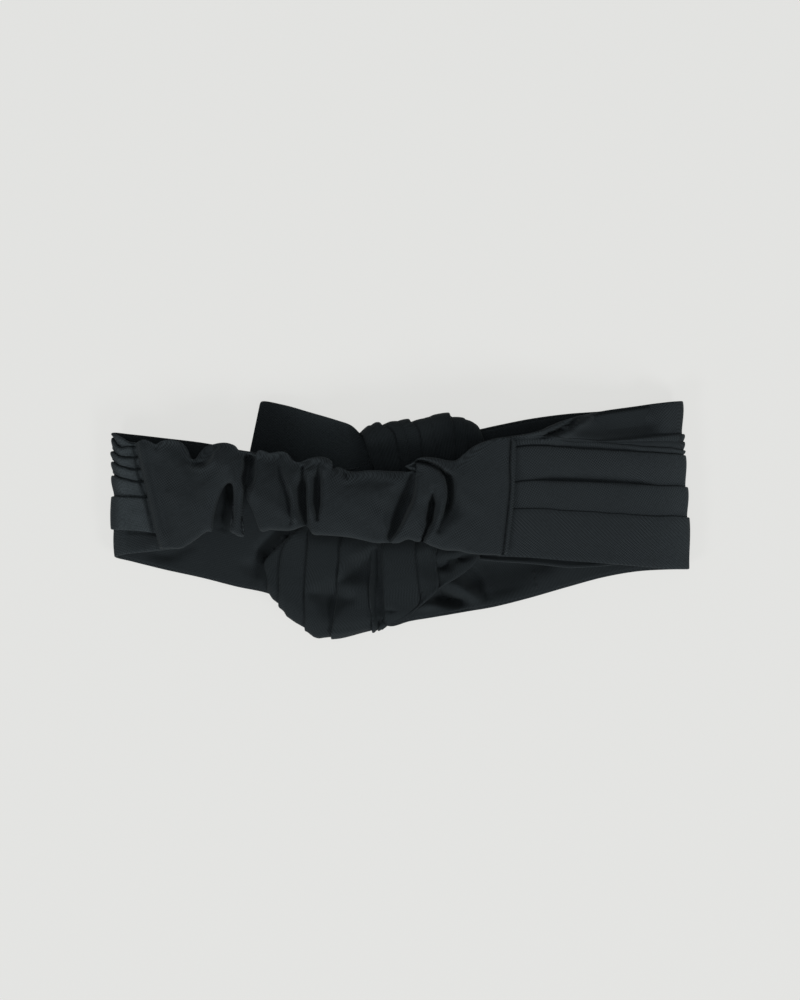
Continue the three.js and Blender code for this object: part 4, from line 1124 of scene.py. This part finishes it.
def first_stitch(size, thick, material):
    """One stitch, along X: a short thread with a flat underside and thin ends."""
    bpy.ops.object.select_all(action="DESELECT")
    bpy.ops.mesh.primitive_uv_sphere_add(
        segments=10, ring_count=6, radius=thick, rotation=(0, math.pi / 2, 0))
    stitch = bpy.context.active_object
    bpy.ops.object.transform_apply(location=False, rotation=True, scale=False)
    bpy.ops.object.mode_set(mode="EDIT")
    bpy.ops.mesh.select_all(action="SELECT")
    bpy.ops.transform.resize(value=(0.5 * size / thick, 1, 1))
    bpy.ops.mesh.select_all(action="DESELECT")
    bpy.ops.object.mode_set(mode="OBJECT")
    for vertex in stitch.data.vertices:
        vertex.select = vertex.co.z < -0.1 * thick
    bpy.ops.object.mode_set(mode="EDIT")
    bpy.ops.transform.resize(value=(1, 1, 0.3), center_override=(0, 0, 0))
    bpy.ops.object.mode_set(mode="OBJECT")
    bpy.ops.object.shade_smooth()
    stitch.data.materials.append(material)
    return stitch


def stitch_places(piece, line, hop):
    """Where the stitches of a row lie on a piece of cloth, and how each is turned."""
    path = follow(np.array([(x, y, 0) for x, y in line], float)[:, None], 12)[:, 0]
    run = np.concatenate([[0], np.cumsum(np.linalg.norm(np.diff(path, axis=0), axis=1))])
    at = np.arange(0.5 * hop, run[-1], hop)

    def spots(shift):
        """The places on the line so many millimetres past the middles of the stitches."""
        return np.stack([np.interp(at + shift, run, path[:, k]) for k in (0, 1)], 1)

    for (x, y), (dx, dy) in zip(spots(0), spots(0.3) - spots(-0.3)):
        hit, spot, normal, _ = piece.ray_cast(Vector((x, y, 100)) * MM, Vector((0, 0, -1)))
        if not hit:
            raise RuntimeError(f"a row of stitches leaves {piece.name} at {x:.1f}, {y:.1f}")
        side = normal.cross(Vector((dx, dy, 0))).normalized()
        turn = Matrix((side.cross(normal), side, normal)).transposed()
        yield turn.to_4x4(), spot


# ---------------------------------------------------------------------------------------------
# Operators
# ---------------------------------------------------------------------------------------------

class HEADBAND_OT_pleated_band(bpy.types.Operator):
    """Adds the pleated outer cloth of the band"""
    bl_idname = "headband.pleated_band"
    bl_label = "Pleated band"

    def execute(self, context):
        grid, painted_light = pleated_band()
        piece = cloth_piece("pleated_band_cloth", grid, twill("outer"),
                            context.scene.headband_twill.thickness, painted_light=painted_light)
        sew(piece, "pleated_band")
        return {"FINISHED"}


class HEADBAND_OT_band_lining(bpy.types.Operator):
    """Adds the plain lining inside the band"""
    bl_idname = "headband.band_lining"
    bl_label = "Band lining"

    def execute(self, context):
        piece = cloth_piece("band_lining_cloth", band_lining(), twill("lining"),
                            context.scene.headband_twill.thickness)
        sew(piece, "band_lining")
        return {"FINISHED"}


class HEADBAND_OT_elastic_casing(bpy.types.Operator):
    """Adds the gathered casing of the elastic"""
    bl_idname = "headband.elastic_casing"
    bl_label = "Elastic casing"

    def execute(self, context):
        grid, down = elastic_casing()
        piece = cloth_piece("elastic_casing_cloth", grid, twill("outer"),
                            context.scene.headband_casing.wall, offset=-1.0, closed_columns=True,
                            down=down)
        sew(piece, "elastic_casing")
        return {"FINISHED"}


class HEADBAND_OT_knot_wrap(bpy.types.Operator):
    """Adds the pleated cloth wound round the band as its knot"""
    bl_idname = "headband.knot_wrap"
    bl_label = "Knot wrap"

    def execute(self, context):
        # Painted shade: the knot's twill is a darker copy of the outer one.
        piece = cloth_piece("knot_wrap_cloth", knot_wrap(), twill("knot"),
                            context.scene.headband_twill.thickness, closed_rows=True)
        sew(piece, "knot_wrap")
        return {"FINISHED"}


class HEADBAND_OT_knot_tail(bpy.types.Operator):
    """Adds the plain tail that stands out of the knot"""
    bl_idname = "headband.knot_tail"
    bl_label = "Knot tail"

    def execute(self, context):
        grid, painted_light = knot_tail()
        # Painted shade: the knot's twill is a darker copy of the outer one.
        piece = cloth_piece("knot_tail_cloth", grid, twill("knot"),
                            context.scene.headband_twill.thickness, offset=-1.0,
                            closed_columns=True, painted_light=painted_light)
        sew(piece, "knot_tail")
        return {"FINISHED"}


class HEADBAND_OT_stitches(bpy.types.Operator):
    """Adds the rows of stitches on the finished cloth"""
    bl_idname = "headband.stitches"
    bl_label = "Stitches"

    def execute(self, context):
        sizes = context.scene.headband_stitches
        first = first_stitch(sizes.stitch, sizes.thread, thread())
        context.view_layer.update()
        copies = []
        for name, line in STITCH_ROWS:
            hop = (sizes.stitch + sizes.gap) / MM
            for turn, spot in stitch_places(bpy.data.objects[name], line, hop):
                copy = first.copy()
                copy.data = first.data.copy()
                copy.matrix_world = Matrix.Translation(spot) @ turn
                context.scene.collection.objects.link(copy)
                copies.append(copy)
        bpy.data.objects.remove(first)
        bpy.ops.object.select_all(action="DESELECT")
        for copy in copies:
            copy.select_set(True)
        context.view_layer.objects.active = copies[0]
        bpy.ops.object.join()
        bpy.ops.object.transform_apply(location=True, rotation=True, scale=True)
        piece = context.active_object
        piece.name = piece.data.name = "seam_stitches"
        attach(piece, "root")
        return {"FINISHED"}


class HEADBAND_OT_stage(bpy.types.Operator):
    """Adds the floor, the lights and the camera"""
    bl_idname = "headband.stage"
    bl_label = "Stage"

    def execute(self, context):
        stage = context.scene.headband_stage
        low, high = (Vector(corner) for corner in CAD_BOX)
        centre = (low + high) / 2

        bpy.ops.object.select_all(action="DESELECT")
        bpy.ops.mesh.primitive_plane_add(size=16, location=(0, 0, 0))
        floor = context.active_object
        floor.name = "floor"
        material, shader = new_material("floor")
        fill(material, shader, {
            "Base Color": (0.08, 0.08, 0.08, 1), "Roughness": 1.0, "Specular IOR Level": 0.0,
            "Emission Color": (*stage.floor, 1), "Emission Strength": stage.glow})
        floor.data.materials.append(material)

        # Each soft light: its name, its place and size in metres, and its power.
        for name, spot, size, power in (
                ("left_light", (-1.5, -1.45, 1.65), (0.9, 0.6), stage.left),
                ("right_light", (1.5, -1.45, 1.65), (0.9, 0.6), stage.right),
                ("top_light", (0.0, -0.2, 2.7), (1.6, 1.6), stage.top)):
            light = bpy.data.lights.new(name, "AREA")
            light.shape, light.size, light.size_y, light.energy = "RECTANGLE", *size, power
            lamp = bpy.data.objects.new(name, light)
            context.scene.collection.objects.link(lamp)
            lamp.location = spot
            aim = centre - lamp.location
            lamp.rotation_euler = aim.to_track_quat("-Z", "Y").to_euler()

        world = bpy.data.worlds.new("room")
        world.use_nodes = True
        fill(world, world.node_tree.nodes["Background"], {
            "Color": (0.97, 0.99, 1.0, 1), "Strength": stage.sky})
        context.scene.world = world
        context.scene.view_settings.view_transform = "Standard"

        # The camera looks straight down, from over the middle of the view.
        camera = bpy.data.cameras.new("camera")
        camera.sensor_width = 36
        camera.lens = camera.sensor_width * stage.distance / stage.view
        camera.clip_start, camera.clip_end = 0.1, 20
        seer = bpy.data.objects.new("camera", camera)
        seer.location = (0.0002, 0.00807, stage.distance + 0.015)
        context.scene.collection.objects.link(seer)
        context.scene.camera = seer
        return {"FINISHED"}


class HEADBAND_PT_panel(bpy.types.Panel):
    """The headband's settings and pieces"""
    bl_idname = "HEADBAND_PT_panel"
    bl_label = "Turban headband"
    bl_space_type = "VIEW_3D"
    bl_region_type = "UI"
    bl_category = "Headband"

    def draw(self, context):
        for name in SETTINGS:
            group = getattr(context.scene, name)
            box = self.layout.box()
            box.label(text=group.bl_rna.description)
            for key in group.__annotations__:
                box.prop(group, key)
        for operator in OPERATORS:
            self.layout.operator(operator.bl_idname)


SETTINGS = {
    "headband_twill": TwillSettings,
    "headband_pleats": PleatSettings,
    "headband_casing": CasingSettings,
    "headband_stitches": StitchSettings,
    "headband_stage": StageSettings,
}
OPERATORS = [
    HEADBAND_OT_stage, HEADBAND_OT_pleated_band, HEADBAND_OT_band_lining,
    HEADBAND_OT_elastic_casing, HEADBAND_OT_knot_wrap, HEADBAND_OT_knot_tail,
    HEADBAND_OT_stitches,
]


def register():
    for cls in (*SETTINGS.values(), *OPERATORS, HEADBAND_PT_panel):
        bpy.utils.register_class(cls)
    for name, cls in SETTINGS.items():
        setattr(bpy.types.Scene, name, bpy.props.PointerProperty(type=cls))


def unregister():
    for name in SETTINGS:
        delattr(bpy.types.Scene, name)
    for cls in (HEADBAND_PT_panel, *reversed(OPERATORS), *reversed(SETTINGS.values())):
        bpy.utils.unregister_class(cls)


def main():
    """Builds the stage and every piece."""
    register()
    for operator in OPERATORS:
        group, name = operator.bl_idname.split(".")
        getattr(getattr(bpy.ops, group), name)()


if __name__ == "__main__":
    main()
